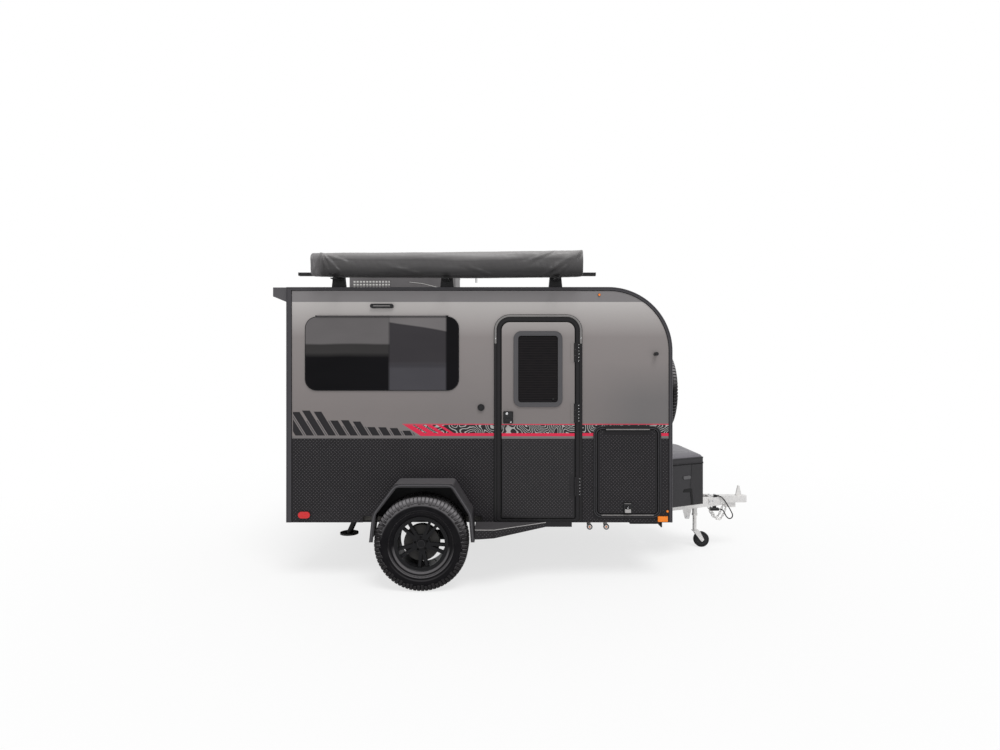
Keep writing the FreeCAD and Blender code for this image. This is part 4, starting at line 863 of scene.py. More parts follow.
def tread_on_entry_door():
    """The tread bars of the entry door's lower half, clear of its low hinge."""
    (x0, x1), (z0, _) = spans("entry_door")
    inset = BAR_LENGTH * 1.2
    hinge_edge, hinge_width, hinge_low, hinge_high = 0.014, 0.060, 0.67, 0.86

    def keeps(x, z):
        return not (x > x1 - hinge_width and hinge_low < z < hinge_high)

    lay_tread("entry_door_bars", side_face("right", LEAF_FACE), (x0 + inset, x1 - hinge_edge - inset),
              (z0 + inset, TREAD_TOP - BAR_LENGTH * 0.8), keeps, "entry_door")


def tread_on_ends():
    """The tread bars low on the nose and below the rear hatch."""
    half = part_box("nose_and_roof")[1].y - BAR_LENGTH
    (rear, front), (low, _) = spans("nose_and_roof")
    hatch_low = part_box("hatch_frame")[0].z
    box_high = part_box("storage_box")[1]
    lamp_across, lamp_heights = (0.725, 0.875), (0.640, 0.730)

    def clear_of_lamps(y, z):
        return not inside(abs(y), z, lamp_across, lamp_heights, BAR_LENGTH)

    def clear_of_box(y, z):
        return not (abs(y) < box_high.y + 0.002 and z < box_high.z + 0.01)

    shape = Shape()
    for x, outward, top, keeps in ((rear, -AHEAD, hatch_low, clear_of_lamps),
                                   (front, AHEAD, TREAD_TOP, clear_of_box)):
        face = frame_of(AHEAD * x, Vector((0, 1, 0)), UP, outward)
        add_bars(shape, bars_over((-half, half), (low + BAR_LENGTH, top - BAR_LENGTH), keeps), face)
    shape.piece("tread_bars_ends", "bars", "tread_plate", smooth=None)


# Trims and beads

def body_path(inset, rear_inset):
    """The body's side outline, drawn in by an inset, from the rear foot round to the front one."""
    (rear, front), (low, top) = spans("edge_trims")
    rear, front, top, low = rear + rear_inset, front - inset, top - inset, low + 0.004
    radius = NOSE_RADIUS - inset
    nose = arc((front - radius, top - radius), radius, 90, 0, 28)
    return [(rear, low), (rear, top)] + nose + [(front, low)]


def soften(points, radius, steps=5):
    """A path with its inner corners rounded."""
    softened = [points[0]]
    for before, here, after in zip(points, points[1:], points[2:]):
        here = Vector(here)
        back, ahead = Vector(before) - here, Vector(after) - here
        first = here + back.normalized() * min(radius, back.length / 2)
        second = here + ahead.normalized() * min(radius, ahead.length / 2)
        for step in range(steps + 1):
            share = step / steps
            softened.append(tuple(first * (1 - share) ** 2 + here * 2 * share * (1 - share)
                                  + second * share ** 2))
    softened.append(points[-1])
    return softened


def edge_beads(side):
    """The dark line inside the edge trim and the rounded edge outside it."""
    inner, outer = Shape(), Shape()
    inner.bead(side, body_path(EDGE_TRIM + 0.002, POST_TRIM + 0.002), 0.9925, 0.0034, 0.9, False)
    inner.piece("edge_seal_" + side, "gloss", "black_plastic")
    outer.bead(side, body_path(0.004, 0.004), 0.9935, 0.0052, 1.0, False)
    outer.piece("edge_bead_" + side, "edge", "dark_trim")


def entry_frame_beads():
    """The folds and grooves of the entry door's frame."""
    (x0, x1), (z0, z1) = spans("entry_door_frame")
    folds, grooves = Shape(), Shape()
    for shape, inset, corner, low, foot, radius in (
            (grooves, 0.0015, 0.1235, 0.0015, 0.0225, 0.0022),
            (grooves, 0.0205, 0.1045, 0.0105, 0.018, 0.0026),
            (folds, 0.0270, 0.0980, 0.0140, 0.016, 0.0022),
            (folds, 0.0460, 0.0790, 0.0225, 0.015, 0.0020),
            (grooves, 0.0530, 0.0720, 0.0255, 0.014, 0.0024)):
        path = rounded_rectangle((x0 + inset, x1 - inset), (z0 + low, z1 - inset), corner, 8, foot)
        shape.bead("right", path, FRAME_FACE, radius)
    folds.piece("entry_frame_folds", "trim", "dark_trim")
    grooves.piece("entry_frame_grooves", "gloss", "dark_trim")


# Stations and heights of the entry door's hinge plates, and the line of their knuckles
HINGE_PLATES = ((0.3575, 1.828), (0.3575, 1.347), (0.3650, 0.765))
HINGE_SCREWS = 6
HINGE_PITCH = 0.025
HINGE_FACE = 1.0182
KNUCKLE_X = 0.3285
KNUCKLE_HALF = 0.024
KNUCKLE_DEPTH = 1.010


def entry_frame_fittings():
    """The drip rail over the entry door, its screws, and the hinges' screws and knuckles."""
    (x0, x1), (_, z1) = spans("entry_door_frame")
    x0, x1, z1 = x0 + 0.0110, x1 - 0.0110, z1 - 0.0110
    foot, bend, radius, depth = 1.905, 1.95, 0.114, 1.0030
    path = [(x0, foot), (x0, bend)] + arc((x0 + radius, z1 - radius), radius, 180, 90, 12)
    path += arc((x1 - radius, z1 - radius), radius, 90, 0, 12) + [(x1, bend), (x1, foot)]
    rail, screws, hinges = Shape(), Shape(), Shape()
    rail.tube([(x, -depth, z) for x, z in path], 0.0078, 10, 0.55)
    for x in (x0, x1):
        rail.dome((x, -depth, foot), (0, -1, 0), 0.0078, 0.0042, 14)
        screws.dome((x, -1.0072, 1.940), (0, -1, 0), 0.0038, 0.0014)
    rail.piece("drip_rail", "drip", "dark_trim", smooth=50)
    for x, middle in HINGE_PLATES:
        for step in range(HINGE_SCREWS):
            height = middle + HINGE_PITCH * (step - (HINGE_SCREWS - 1) / 2)
            screws.dome((x, -HINGE_FACE, height), (0, -1, 0), 0.0027, 0.0012, 8)
        hinges.tube([(KNUCKLE_X, -KNUCKLE_DEPTH, middle - KNUCKLE_HALF),
                     (KNUCKLE_X, -KNUCKLE_DEPTH, middle + KNUCKLE_HALF)], 0.0088, 14)
    screws.piece("entry_frame_screws", "steel", "tongue_metal")
    hinges.piece("entry_hinge_knuckles", "trim", "dark_trim", "entry_door")


def entry_door_details():
    """The seal, folds and knob of the door's window, its locks and the rim of its handle."""
    seal, lip, knob, locks, rim = Shape(), Shape(), Shape(), Shape(), Shape()
    seal.bead("right", rounded_rectangle(*spans("entry_door_glass"), 0.024), 1.0045, 0.0048, 0.9)
    seal.piece("door_window_seal", "gloss", "black_plastic", "entry_door")
    window = spans("entry_door_window_frame")
    for inset in (0.003, 0.026):
        lip.bead("right", inset_rectangle(window, inset, 0.060 - inset * 0.9), 1.0115, 0.0022)
    lip.piece("door_window_folds", "frame", "grey_frame", "entry_door")
    knob.dome((window[0][1] - 0.074, -1.006, window[1][0] + 0.062), (0, -1, 0), 0.009, 0.007, 14)
    knob.piece("door_window_knob", "plastic", "black_plastic", "entry_door", 30)
    handle = spans("entry_door_handle")
    (x0, x1), (z0, z1) = handle
    for x, z, radius in ((x0 + 0.028, z1 - 0.018, 0.0095), (x1 - 0.019, z0 + 0.011, 0.0065)):
        locks.dome((x, -1.018, z), (0, -1, 0), radius, 0.0025, 16)
    locks.piece("entry_locks", "steel", "tongue_metal", "entry_door", 30)
    rim.bead("right", inset_rectangle(handle, 0.003, 0.006), 1.0178, 0.0018)
    rim.piece("handle_rim", "gloss", "black_plastic", "entry_door")


def luggage_frame_details(side):
    """The folds of a luggage door's frame, paler than the frame as painted highlights, and its hinge line and
    lower line, pale lines that are painted highlights.
    """
    (x0, x1), (z0, z1) = spans("luggage_door_frames")
    top = z1 - 0.005
    folds, grooves, lines = Shape(), Shape(), Shape()
    for shape, inset, corner in ((folds, 0.004, 0.061), (grooves, 0.0125, 0.0525), (folds, 0.0205, 0.0445)):
        shape.bead(side, inset_rectangle(((x0, x1), (z0, top)), inset, corner), FRAME_FACE, 0.0026)
    # The folds are in a paler grey than the frame: painted highlights.
    folds.piece("luggage_frame_fold_highlights_" + side, "edge", "dark_trim")
    grooves.piece("luggage_frame_grooves_" + side, "gloss", "dark_trim")
    middle = (x0 + x1) / 2
    # Pale lines along the hinge and low on the frame: painted highlights.
    for start, end, depth, z in ((middle - 0.173, middle + 0.173, 1.0172, top - 0.0255),
                                 (x0 + 0.062, x1 - 0.062, 1.0025, z0 + 0.0190)):
        lines.tube([(start, SIGN[side] * depth, z), (end, SIGN[side] * depth, z)], 0.0045, 8)
    lines.piece("luggage_frame_highlights_" + side, "drip", "dark_trim")


LATCH_PLATE_HEIGHTS = (0.559, 0.586)


def luggage_latch_details(side):
    """The key disc, pale bar and plain plate of a luggage door's latch; the pale bar along the top edge is a
    painted highlight.
    """
    (x0, x1), (z0, z1) = spans("luggage_latch_" + side)
    middle = (x0 + x1) / 2
    metal, bar, blank = Shape(), Shape(), Shape()
    metal.dome((middle, SIGN[side] * 1.0262, z0 + 0.041), (0, SIGN[side], 0), 0.0040, 0.002, 14)
    metal.piece("latch_metal_" + side, "steel", "tongue_metal", "luggage_door_" + side)
    # A pale bar along the latch's top edge: painted highlight.
    bar.slab(rounded_rectangle((middle - 0.027, middle + 0.027), (z1 - 0.0060, z1 - 0.0015), 0.0020, 3),
             side_face(side, 1.0142), -0.001, 0.0012)
    bar.piece("latch_top_highlight_" + side, "drip", "black_plastic", "luggage_door_" + side)
    blank.slab(rounded_rectangle((middle - 0.023, middle + 0.023), LATCH_PLATE_HEIGHTS, 0.003, 3),
               side_face(side, 1.0135), 0.0, 0.0130)
    blank.piece("latch_plate_" + side, "pale", "tongue_metal", "luggage_door_" + side)


def window_details(side):
    """The rail over a side window and the dark rim of its pane."""
    (x0, x1), (z0, z1) = spans("side_windows")
    glass_top = z1 - 0.008
    rail_y, rail_z = SIGN[side] * 0.9995, glass_top + 0.004
    rail, rim = Shape(), Shape()
    rail.tube([(x0 + 0.085, rail_y, rail_z), (x1 - 0.085, rail_y, rail_z)], 0.0045, 12)
    rail.piece("window_rail_" + side, "gloss", "black_plastic")
    rim.bead(side, inset_rectangle(((x0, x1), (z0, glass_top)), 0.0035, 0.0915, 10), 0.9958, 0.0036, 0.9)
    rim.piece("window_rim_" + side, "gloss", "black_plastic")


STOP_LAMP_X = -1.8255
STOP_LAMP_HALF = 0.053
STOP_LAMP_HEIGHTS = (0.504, 0.568)
SIGNAL_HEIGHTS = (0.481, 0.529)
LOW_DOT_Z = 0.565
HIGH_DOT_Z = 2.288
DOT_RADIUS = 0.009
INLET = (-0.4185, 1.391)


def lamp_details():
    """The porch lamp's lens, the bezels of the lamps and the rings of the round inlet."""
    lens_bar, bezels = Shape(), Shape()
    porch = spans("porch_lamp")
    (x0, x1), (z0, z1) = porch
    lens_bar.slab(rounded_rectangle((x0 + 0.026, x1 - 0.026), (z0 + 0.0135, z1 - 0.0135), 0.0030, 5),
                  side_face("right", 1.012), -0.002, 0.0016)
    lens_bar.piece("porch_lens", "drip", "grey_frame")
    bezels.bead("right", inset_rectangle(porch, 0.004, 0.0128), 1.0112, 0.0032)
    amber_low, amber_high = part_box("amber_lamps")
    rear_dot, front_dot = amber_low.x + DOT_RADIUS, amber_high.x - DOT_RADIUS
    for side in SIGN:
        face = side_face(side, SKIN_FACE)
        bezels.slab(rounded_rectangle((front_dot - 0.081, front_dot + 0.003), SIGNAL_HEIGHTS, 0.004, 3),
                    face, -0.001, 0.004)
        for x, z, depth in ((front_dot, LOW_DOT_Z, SKIN_FACE), (rear_dot, HIGH_DOT_Z, SIDE)):
            bezels.slab(circle((0, 0), DOT_RADIUS + 0.0025, 20), side_face(side, depth, x, z), -0.001, 0.0045)
        stop_span = (STOP_LAMP_X - STOP_LAMP_HALF, STOP_LAMP_X + STOP_LAMP_HALF)
        bezels.slab(rounded_rectangle(stop_span, STOP_LAMP_HEIGHTS, 0.031), face, -0.001, 0.005)
    for radius, depth in ((0.0255, 1.0035), (0.017, 1.0042)):
        bezels.bead("right", circle(INLET, radius, 28), depth, 0.0022, 0.9)
    bezels.piece("lamp_bezels", "plastic", "black_plastic")


def fender_bead(side):
    """The rolled lip of a fender, paler than the fender as a painted highlight along its edge."""
    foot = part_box("fender_" + side)[0].z + 0.004
    path = fender_path(side, LIP_INSET, LIP_INSET / 2, foot)
    shape = Shape()
    shape.bead(side, soften(path, 0.045), 1.2385, 0.0058, 0.9, False)
    # The lip is in a paler grey than the fender: painted highlight.
    shape.piece("fender_lip_" + side, "frame", "dark_trim")


def outward_from(start, end, sign):
    """The direction along a slanted wall, and the one outward from it."""
    along = (end - start).normalized()
    return along, Vector((along.y * sign * -1, along.x * sign, 0))


# A step plate's outer corners, as (station from its rear, depth), and how its lower edge rises
STEP_CORNERS = ((0.004, 1.240), (0.148, 1.240), (0.557, 1.005))
STEP_LIFT = 0.036
STEP_LIFT_FROM = 0.028
STEP_LIFT_OVER = 0.529


def step_details(side):
    """The tread on a step plate's outer faces, and a pale line along its upper edge as a painted highlight.
    """
    sign = SIGN[side]
    (x0, _), (z0, z1) = spans("step_plates")
    corners = [Vector((x0 + start, sign * depth, 0)) for start, depth in STEP_CORNERS]
    shape, edge = Shape(), Shape()
    for start, end in zip(corners, corners[1:]):
        along, out = outward_from(start, end, sign)
        length = (end - start).length

        def keeps(u, v, start=start, along=along):
            x = start.x + along.x * u
            floor_z = z0 + STEP_LIFT * max(0.0, (x - x0 - STEP_LIFT_FROM) / STEP_LIFT_OVER)
            return floor_z + BAR_LENGTH < v < z1 - BAR_LENGTH * 0.8

        add_bars(shape, bars_over((BAR_LENGTH, length - BAR_LENGTH), (z0, z1), keeps),
                 frame_of(start, along, UP, out))
    shape.piece("step_bars_" + side, "bars", "tread_plate", smooth=None)
    # A pale line along the upper edge: painted highlight.
    edge.tube([(corner.x, corner.y, z1 - 0.002) for corner in corners], 0.0026, 6)
    edge.piece("step_edge_highlight_" + side, "pale", "dark_trim")


def cut_at(points, limit):
    """A flat outline without what lies behind a station."""
    kept = []
    for (x0, z0), (x1, z1) in zip(points, points[1:] + points[:1]):
        if x0 >= limit:
            kept.append((x0, z0))
        if (x0 - limit) * (x1 - limit) < 0:
            kept.append((limit, z0 + (limit - x0) / (x1 - x0) * (z1 - z0)))
    return kept


GRAPHIC_REAR = -1.917
GRAPHIC_BARS = 11
GRAPHIC_PITCH = 0.0875
GRAPHIC_LEAN = 0.62
GRAPHIC_LEAST = 0.052
GRAPHIC_RISE = 0.236
GRAPHIC_SHARES = (1.0, 0.74, 0.90)


def side_graphic(side):
    """Slanted bars of film that rise toward the rear, on one side."""
    low = SILVER_TOP + 0.004
    dark, pale = Shape(), Shape()
    for index in range(GRAPHIC_BARS):
        height = GRAPHIC_LEAST + GRAPHIC_RISE * (1 - index / (GRAPHIC_BARS - 1)) ** 1.5
        height *= GRAPHIC_SHARES[index % 3]
        for shape, grow, base, width in ((dark, 1.0, 0.0, 0.061), (pale, 0.62, 0.070, 0.009)):
            left = GRAPHIC_REAR + 0.020 + GRAPHIC_PITCH * index + base
            top, shift = low + height * grow, height * GRAPHIC_LEAN * grow
            points = [(left, low), (left + width, low), (left + width - shift, top), (left - shift, top)]
            shape.slab(cut_at(points, GRAPHIC_REAR), side_face(side, SIDE), -0.0002, 0.0005)
    dark.piece("graphic_bars_" + side, "graphic", "dark_paint", smooth=None)
    pale.piece("graphic_lines_" + side, "frame", "grey_frame", smooth=None)


# Wheels

# Half of the tyre's section, as (along the axle, radius), from its bead out to the tread's middle
TYRE_HALF = (
    (0.0826, 0.1915), (0.0826, 0.2083), (0.0925, 0.2100), (0.0985, 0.2150), (0.1010, 0.2215),
    (0.1040, 0.2230), (0.1052, 0.2290), (0.1040, 0.2335), (0.1062, 0.2420), (0.1085, 0.2520),
    (0.1098, 0.2535), (0.1103, 0.2570), (0.1096, 0.2600), (0.1110, 0.2720), (0.1118, 0.2850),
    (0.1115, 0.2960), (0.1098, 0.3070), (0.1088, 0.3085), (0.1066, 0.3180), (0.1035, 0.3290),
    (0.0985, 0.3405), (0.0915, 0.3490), (0.0790, 0.3535), (0.0550, 0.3558), (0.0280, 0.3570),
    (0.0, 0.3573))
TYRE_SEGMENTS = 104
PITCHES = 72
LUG_SHARE = 0.78
BLOCK_SKEW = 0.22
LUG_FEET = (0.3080, 0.3210, 0.3140)
RING_RADIUS = 0.2455
RING_TEETH = 150
RING_FACE = 0.1076
RIM_HALF = 0.092
SPOKE_SETBACK = 0.016
NUTS = 5
FIRST_NUT = -49
NUT_CIRCLE = 0.049
VALVE_ROOT = 0.176


def wheel_frame(name):
    """Where a wheel is and which way its face looks."""
    low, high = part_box("spare_tyre" if name == "spare" else "tyre_" + name)
    turn = {"spare": 90, "right": 0, "left": 180}[name]
    return Matrix.Translation((low + high) / 2) @ Matrix.Rotation(math.radians(turn), 4, "Z")


def tread_block(shape, matrix, corners, low, high):
    """A block of tread from its corners by (along, angle), between two radii."""
    count = len(corners)
    middle = [sum(corner[axis] for corner in corners) / count for axis in (0, 1)]
    points = []
    for radius, shrink in ((low, 1.0), (high, 0.90)):
        for along, angle in corners:
            points.append(matrix @ round_axis(radius, middle[1] + (angle - middle[1]) * shrink,
                                              middle[0] + (along - middle[0]) * shrink))
    faces = [tuple(range(count, 2 * count))]
    for index in range(count):
        ahead = (index + 1) % count
        faces.append((index, ahead, count + ahead, count + index))
    shape.add(points, faces)


def shoulder_lug(shape, matrix, sign, start, end, foot):
    """A lug that wraps from the tread down over the shoulder."""
    section = [(0.0640, 0.3500), (0.0655, 0.3616), (0.0800, 0.3610), (0.0925, 0.3560), (0.1035, 0.3455),
               (0.1090, 0.3320), (0.1125, foot), (0.1080, foot - 0.004)]
    bevel = (end - start) * 0.08
    rings = []
    for angle, full in ((start, False), (start + bevel, True), (end - bevel, True), (end, False)):
        ring = []
        for index, (along, radius) in enumerate(section):
            grow = 1.0 if full else 0.985
            sunk = radius if full or index == 0 else radius - 0.0035
            ring.append(matrix @ round_axis(sunk, angle, sign * along * grow))
        rings.append(ring)
    if sign > 0:
        rings = [list(reversed(ring)) for ring in rings]
    shape.loft(rings)


def tyre_tread(shape, matrix):
    """The shoulder lugs and the two rows of blocks on each half of a tyre."""
    pitch = math.tau / PITCHES
    for index in range(PITCHES):
        for sign in (-1, 1):
            turn = index * pitch + (0.5 * pitch if sign > 0 else 0.0)
            shoulder_lug(shape, matrix, sign, turn, turn + pitch * LUG_SHARE, LUG_FEET[index % 3])
            for inner, outer, angles, low, high in (
                    (0.0330, 0.0605, (0.10 + BLOCK_SKEW, 0.02, 0.68, 0.74 + BLOCK_SKEW), 0.3505, 0.3615),
                    (0.0025, 0.0290, (0.48, 0.30, 1.02, 1.20), 0.3518, 0.3618)):
                block = [(sign * along, turn + angle * pitch)
                         for along, angle in zip((inner, outer, outer, inner), angles)]
                tread_block(shape, matrix, block if sign < 0 else block[::-1], low, high)


def wall_teeth(shape, matrix):
    """The ring of small teeth on each wall of a tyre."""
    half, half_turn = 0.0045, 0.0022
    tooth = [(-half, -half_turn), (half, -half_turn), (half, half_turn), (-half, half_turn)]
    for index in range(RING_TEETH):
        angle = index * math.tau / RING_TEETH
        c, s = math.cos(angle), math.sin(angle)
        for sign in (-1, 1):
            points = [matrix @ Vector(((RING_RADIUS + out) * c - turn * s, sign * lift,
                                       (RING_RADIUS + out) * s + turn * c))
                      for lift in (RING_FACE - 0.002, RING_FACE + 0.0008) for out, turn in tooth]
            shape.add(points, BOX_FACES if sign > 0 else flipped(BOX_FACES))


def tyre(name, replaced, body):
    """A tyre with lugs on its shoulders, blocks between them and rings of teeth on its walls."""
    matrix = wheel_frame(name)
    lugs, carcass = Shape(), Shape()
    profile = list(TYRE_HALF) + [(-along, radius) for along, radius in reversed(TYRE_HALF[:-1])]
    carcass.lathe(profile, matrix, TYRE_SEGMENTS)
    tyre_tread(lugs, matrix)
    wall_teeth(lugs, matrix)
    lugs.piece("lugs_" + replaced, "lugs", "tyre_rubber", body, 32)
    # The carcass is paler where it faces up, from a dusting and from painted light from above.
    made = carcass.piece("dusty_lit_" + replaced, "tyre", "tyre_rubber", body, 32)
    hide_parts(replaced)


def wheel_trim(name, body):
    """The nuts, hub rings, lip line and valve of a rim."""
    matrix = wheel_frame(name)
    face = SPOKE_SETBACK - RIM_HALF
    lines, nuts = Shape(), Shape()
    lines.lathe([(-0.0925, 0.2035), (-0.0945, 0.2055), (-0.0945, 0.2075), (-0.0920, 0.2086)], matrix, 72)
    for profile in (((-0.0140, 0.0250), (-0.0152, 0.0262), (-0.0152, 0.0300), (-0.0135, 0.0325)),
                    ((-0.0005, 0.0345), (-0.0035, 0.0362), (-0.0035, 0.0390), (-0.0003, 0.0405))):
        lines.lathe([(face + along, radius) for along, radius in profile], matrix, 40)
    lines.piece("rim_lines_" + name, "trim", "black_alloy", body)
    outward = matrix.to_3x3() @ Vector((0, -1, 0))
    for index in range(NUTS):
        turn = math.radians(FIRST_NUT + 360 // NUTS * index)
        nuts.bolt(matrix @ round_axis(NUT_CIRCLE, turn, face + 0.0175), outward, 0.0058, 0.011)
    for radius, tip in ((0.0045, 0.156), (0.0030, 0.146)):
        nuts.tube([matrix @ round_axis(reach, math.radians(FIRST_NUT), -0.072 - 0.4 * (VALVE_ROOT - reach))
                   for reach in (VALVE_ROOT, tip)], radius, 8)
    nuts.piece("wheel_nuts_" + name, "alloy", "black_alloy", body, 30)


# Box, tongue and roof

# Plan of the box's slanted sides, as (x, half width), and heights of what is on them
BOX_REAR = (1.1625, 0.547)
BOX_FRONT = (1.5555, 0.353)
BOX_FOOT = 0.492
BOX_GRIP_HEIGHTS = (0.720, 0.750)
BOX_RECESS = ((0.470, 0.608), (0.500, 0.633), (0.705, 0.633), (0.735, BOX_FOOT), (0.690, BOX_FOOT),
              (0.655, 0.603))


def box_side_face(sign):
    """A frame on a slanted side of the storage box, from its rear edge, and the side's length."""
    rear, front = (Vector((x, sign * half, 0)) for x, half in (BOX_REAR, BOX_FRONT))
    along, out = outward_from(rear, front, sign)
    return frame_of(rear, along, UP, out), (front - rear).length


def storage_box_details():
    """Grips, recesses, corner panels and seam of the storage box, and the beads of its lid; the recesses are
    dark slabs, painted shade.
    """
    grips, dark, panels, rim = Shape(), Shape(), Shape(), Shape()
    for sign in (-1, 1):
        face, length = box_side_face(sign)
        grips.slab(rounded_rectangle((0.470 * length, 0.665 * length), BOX_GRIP_HEIGHTS, 0.0145, 6),
                   face, -0.002, 0.0055)
        panels.slab([(0.700 * length, BOX_FOOT), (length - 0.002, BOX_FOOT), (length - 0.002, 0.845),
                     (0.700 * length, 0.845), (0.660 * length, 0.640)], face, -0.002, 0.0022)
        # The recesses are dark gloss slabs: painted shade.
        dark.slab([(share * length, height) for share, height in BOX_RECESS], face, -0.002, 0.0032)
    for shape, rear, front, y_rear, y_front, height in (
            (dark, 1.170, 1.5565, 0.5455, 0.3545, 0.8505),
            (rim, 1.166, 1.5575, 0.548, 0.3555, 0.858),
            (rim, 1.166, 1.5565, 0.547, 0.3545, 0.9035)):
        shape.tube([(rear, -y_rear, height), (front, -y_front, height), (front, y_front, height),
                    (rear, y_rear, height)], 0.0034, 6)
    grips.piece("box_grips", "grip", "box_plastic")
    panels.piece("box_corner_panels", "recess", "box_plastic")
    dark.piece("box_recess_shade_and_seam", "gloss", "box_plastic")
    rim.piece("box_lid_beads", "box", "box_plastic", "storage_box_lid")


# Slant of the tongue's rails, and places along the tongue and up the jack
RAIL_SLOPE = math.tan(math.radians(24))
COUPLER_HALF = 0.045
RAILS_MEET = 1.8325
GUSSET_X = 1.714
GUSSET_PLATE = ((-0.030, 0.430), (0.034, 0.430), (0.034, 0.474), (0.010, 0.480), (-0.030, 0.480))
COUPLER_BOLTS = (1.735, 1.790)
JACK_X = 1.5895
JACK_FLANGE_Z = 0.485
JACK_BOLT_CIRCLE = 0.038
JACK_GRIP_Z = 0.710


def tongue_brackets(plates, bolts):
    """The gussets and bolts on both rails of the tongue."""
    for sign in (-1, 1):
        bolts.bolt((1.4635, sign * 0.1863, 0.325), (0, sign, 0), 0.008, 0.006)
        face_y = sign * (COUPLER_HALF + (RAILS_MEET - GUSSET_X) * RAIL_SLOPE + 0.001)
        gusset = frame_of(Vector((GUSSET_X, face_y, 0)), Vector((1, -sign * RAIL_SLOPE, 0)).normalized(),
                          UP, Vector((RAIL_SLOPE, sign, 0)).normalized())
        plates.slab(GUSSET_PLATE, gusset, -0.002, 0.005)
        for u in (-0.016, 0.018):
            bolts.bolt(gusset @ Vector((u, 0.455, 0.005)), gusset.to_3x3() @ UP, 0.008, 0.007)
        for x in COUPLER_BOLTS:
            bolts.bolt((x, sign * 0.030, 0.490), (0, 0, 1), 0.010, 0.007)


def jack_trim(plates, bolts, black):
    """The collar, flange bolts, cap and ribbed grip of the jack."""
    upright = Matrix.Translation((JACK_X, 0, 0)) @ Matrix.Rotation(math.radians(90), 4, "X")
    plates.lathe([(0.318, 0.0232), (0.318, 0.0262), (0.300, 0.0262), (0.300, 0.019)], upright, 28)
    for angle in (45, 135, 225, 315):
        turn = math.radians(angle)
        bolts.bolt((JACK_X + JACK_BOLT_CIRCLE * math.cos(turn), JACK_BOLT_CIRCLE * math.sin(turn),
                    JACK_FLANGE_Z), UP, 0.006, 0.005)
    black.lathe([(0.851, 0.0), (0.851, 0.024), (0.848, 0.0315), (0.838, 0.0330), (0.790, 0.0330),
                 (0.788, 0.0312)], upright, 32)
    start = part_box("tongue_jack")[1].y - 0.031
    profile = [(start - 0.001, 0.0)]
    profile += [(start + 0.004 * step, 0.0148 if step % 2 else 0.0136) for step in range(9)]
    profile.append((start + 0.033, 0.0))
    black.lathe(profile, Matrix.Translation((JACK_X, 0, JACK_GRIP_Z)), 24)


def tongue_details():
    """Brackets and bolts on the tongue, and the collar, cap and grip of its jack."""
    plates, bolts, black = Shape(), Shape(), Shape()
    tongue_brackets(plates, bolts)
    jack_trim(plates, bolts, black)
    plates.piece("tongue_brackets", "zinc", "tongue_metal", smooth=35)
    bolts.piece("tongue_bolts", "steel", "tongue_metal", smooth=30)
    black.piece("jack_cap_and_grip", "plastic", "black_plastic", smooth=35)


# Points (x, z) of the slanted crease on the roof unit's sides
COOLER_CREASE = ((-1.080, 2.476), (-0.960, 2.462), (-0.840, 2.432), (-0.720, 2.392))


def cooler_details():
    """The seam, base gasket and top ribs of the roof unit, a pale sheet behind its side holes as painted
    light showing through them, and a painted highlight along its slanted crease.
    """
    low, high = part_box("air_conditioner")
    gasket, ribs, pale = Shape(), Shape(), Shape()
    base = rounded_rectangle((low.x, high.x), (low.y, high.y), 0.006, 3)
    gasket.tube([(x, y, low.z + 0.004) for x, y in base], 0.0062, 6, 1.0, True)
    gasket.piece("cooler_gasket", "plastic", "black_plastic")
    seam = inset_rectangle(((low.x, high.x), (low.y, high.y)), -0.0005, 0.044, 6)
    ribs.tube([(x, y, high.z - 0.060) for x, y in seam], 0.0030, 6, 1.0, True)
    for step in range(7):
        y = (step - 3) * 0.080
        ribs.tube([(low.x + 0.12, y, high.z - 0.001), (high.x - 0.30, y, high.z - 0.001)], 0.0045, 6, 0.8)
    ribs.piece("cooler_ribs", "cooler", "cooler_plastic")
    for sign in (-1, 1):
        # A pale line along the crease as a painted highlight, and a pale sheet behind the holes as painted
        # light showing through them.
        pale.tube([(x, sign * 0.3502, z) for x, z in COOLER_CREASE], 0.0020, 6)
        middle = sign * 0.3475
        pale.block((low.x + 0.040, middle - 0.001, 2.390), (low.x + 0.372, middle + 0.001, 2.492))
    pale.piece("cooler_painted_light", "white", "cooler_plastic")


DRAIN_STATIONS = (0.4725, 0.6100)
DRAIN_PIPE_Y = -0.748
DRAIN_OUTLET_Z = 0.394


def drain_details():
    """The rings round the drain pipes, and each outlet's bright face with its orange valve."""
    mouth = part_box("drain_fittings")[0].y
    valves, rings, faces = Shape(), Shape(), Shape()
    for x in DRAIN_STATIONS:
        upright = Matrix.Translation((x, DRAIN_PIPE_Y, 0)) @ Matrix.Rotation(math.radians(90), 4, "X")
        outlet = Matrix.Translation((x, mouth, DRAIN_OUTLET_Z))
        rings.lathe([(0.474, 0.0172), (0.472, 0.0215), (0.458, 0.0215), (0.456, 0.0172)], upright, 20)
        rings.lathe([(0.0010, 0.0235), (-0.0012, 0.0240), (-0.0012, 0.0150), (0.0010, 0.0145)], outlet, 24)
        faces.lathe([(0.0008, 0.0148), (-0.0018, 0.0148), (-0.0018, 0.0074), (0.0008, 0.0068)], outlet, 24)
        valves.lathe([(0.0008, 0.0), (-0.0010, 0.0), (-0.0010, 0.0075), (0.0008, 0.0075)], outlet, 24)
    # The valves take the amber lens material, whose faint glow is painted light on them.
    valves.piece("drain_seals", "amber", "amber_lens")
    rings.piece("drain_rings", "frame", "tongue_metal")
    faces.piece("drain_outlets", "zinc", "tongue_metal")


HOOD_SCREWS = 13
HOOD_SCREW_PITCH = 0.155
ROOF_SCREWS = 16
ROOF_SCREW_PITCH = 0.15
ROOF_SCREW_START = -1.85
ROOF_SCREW_Y = 0.972


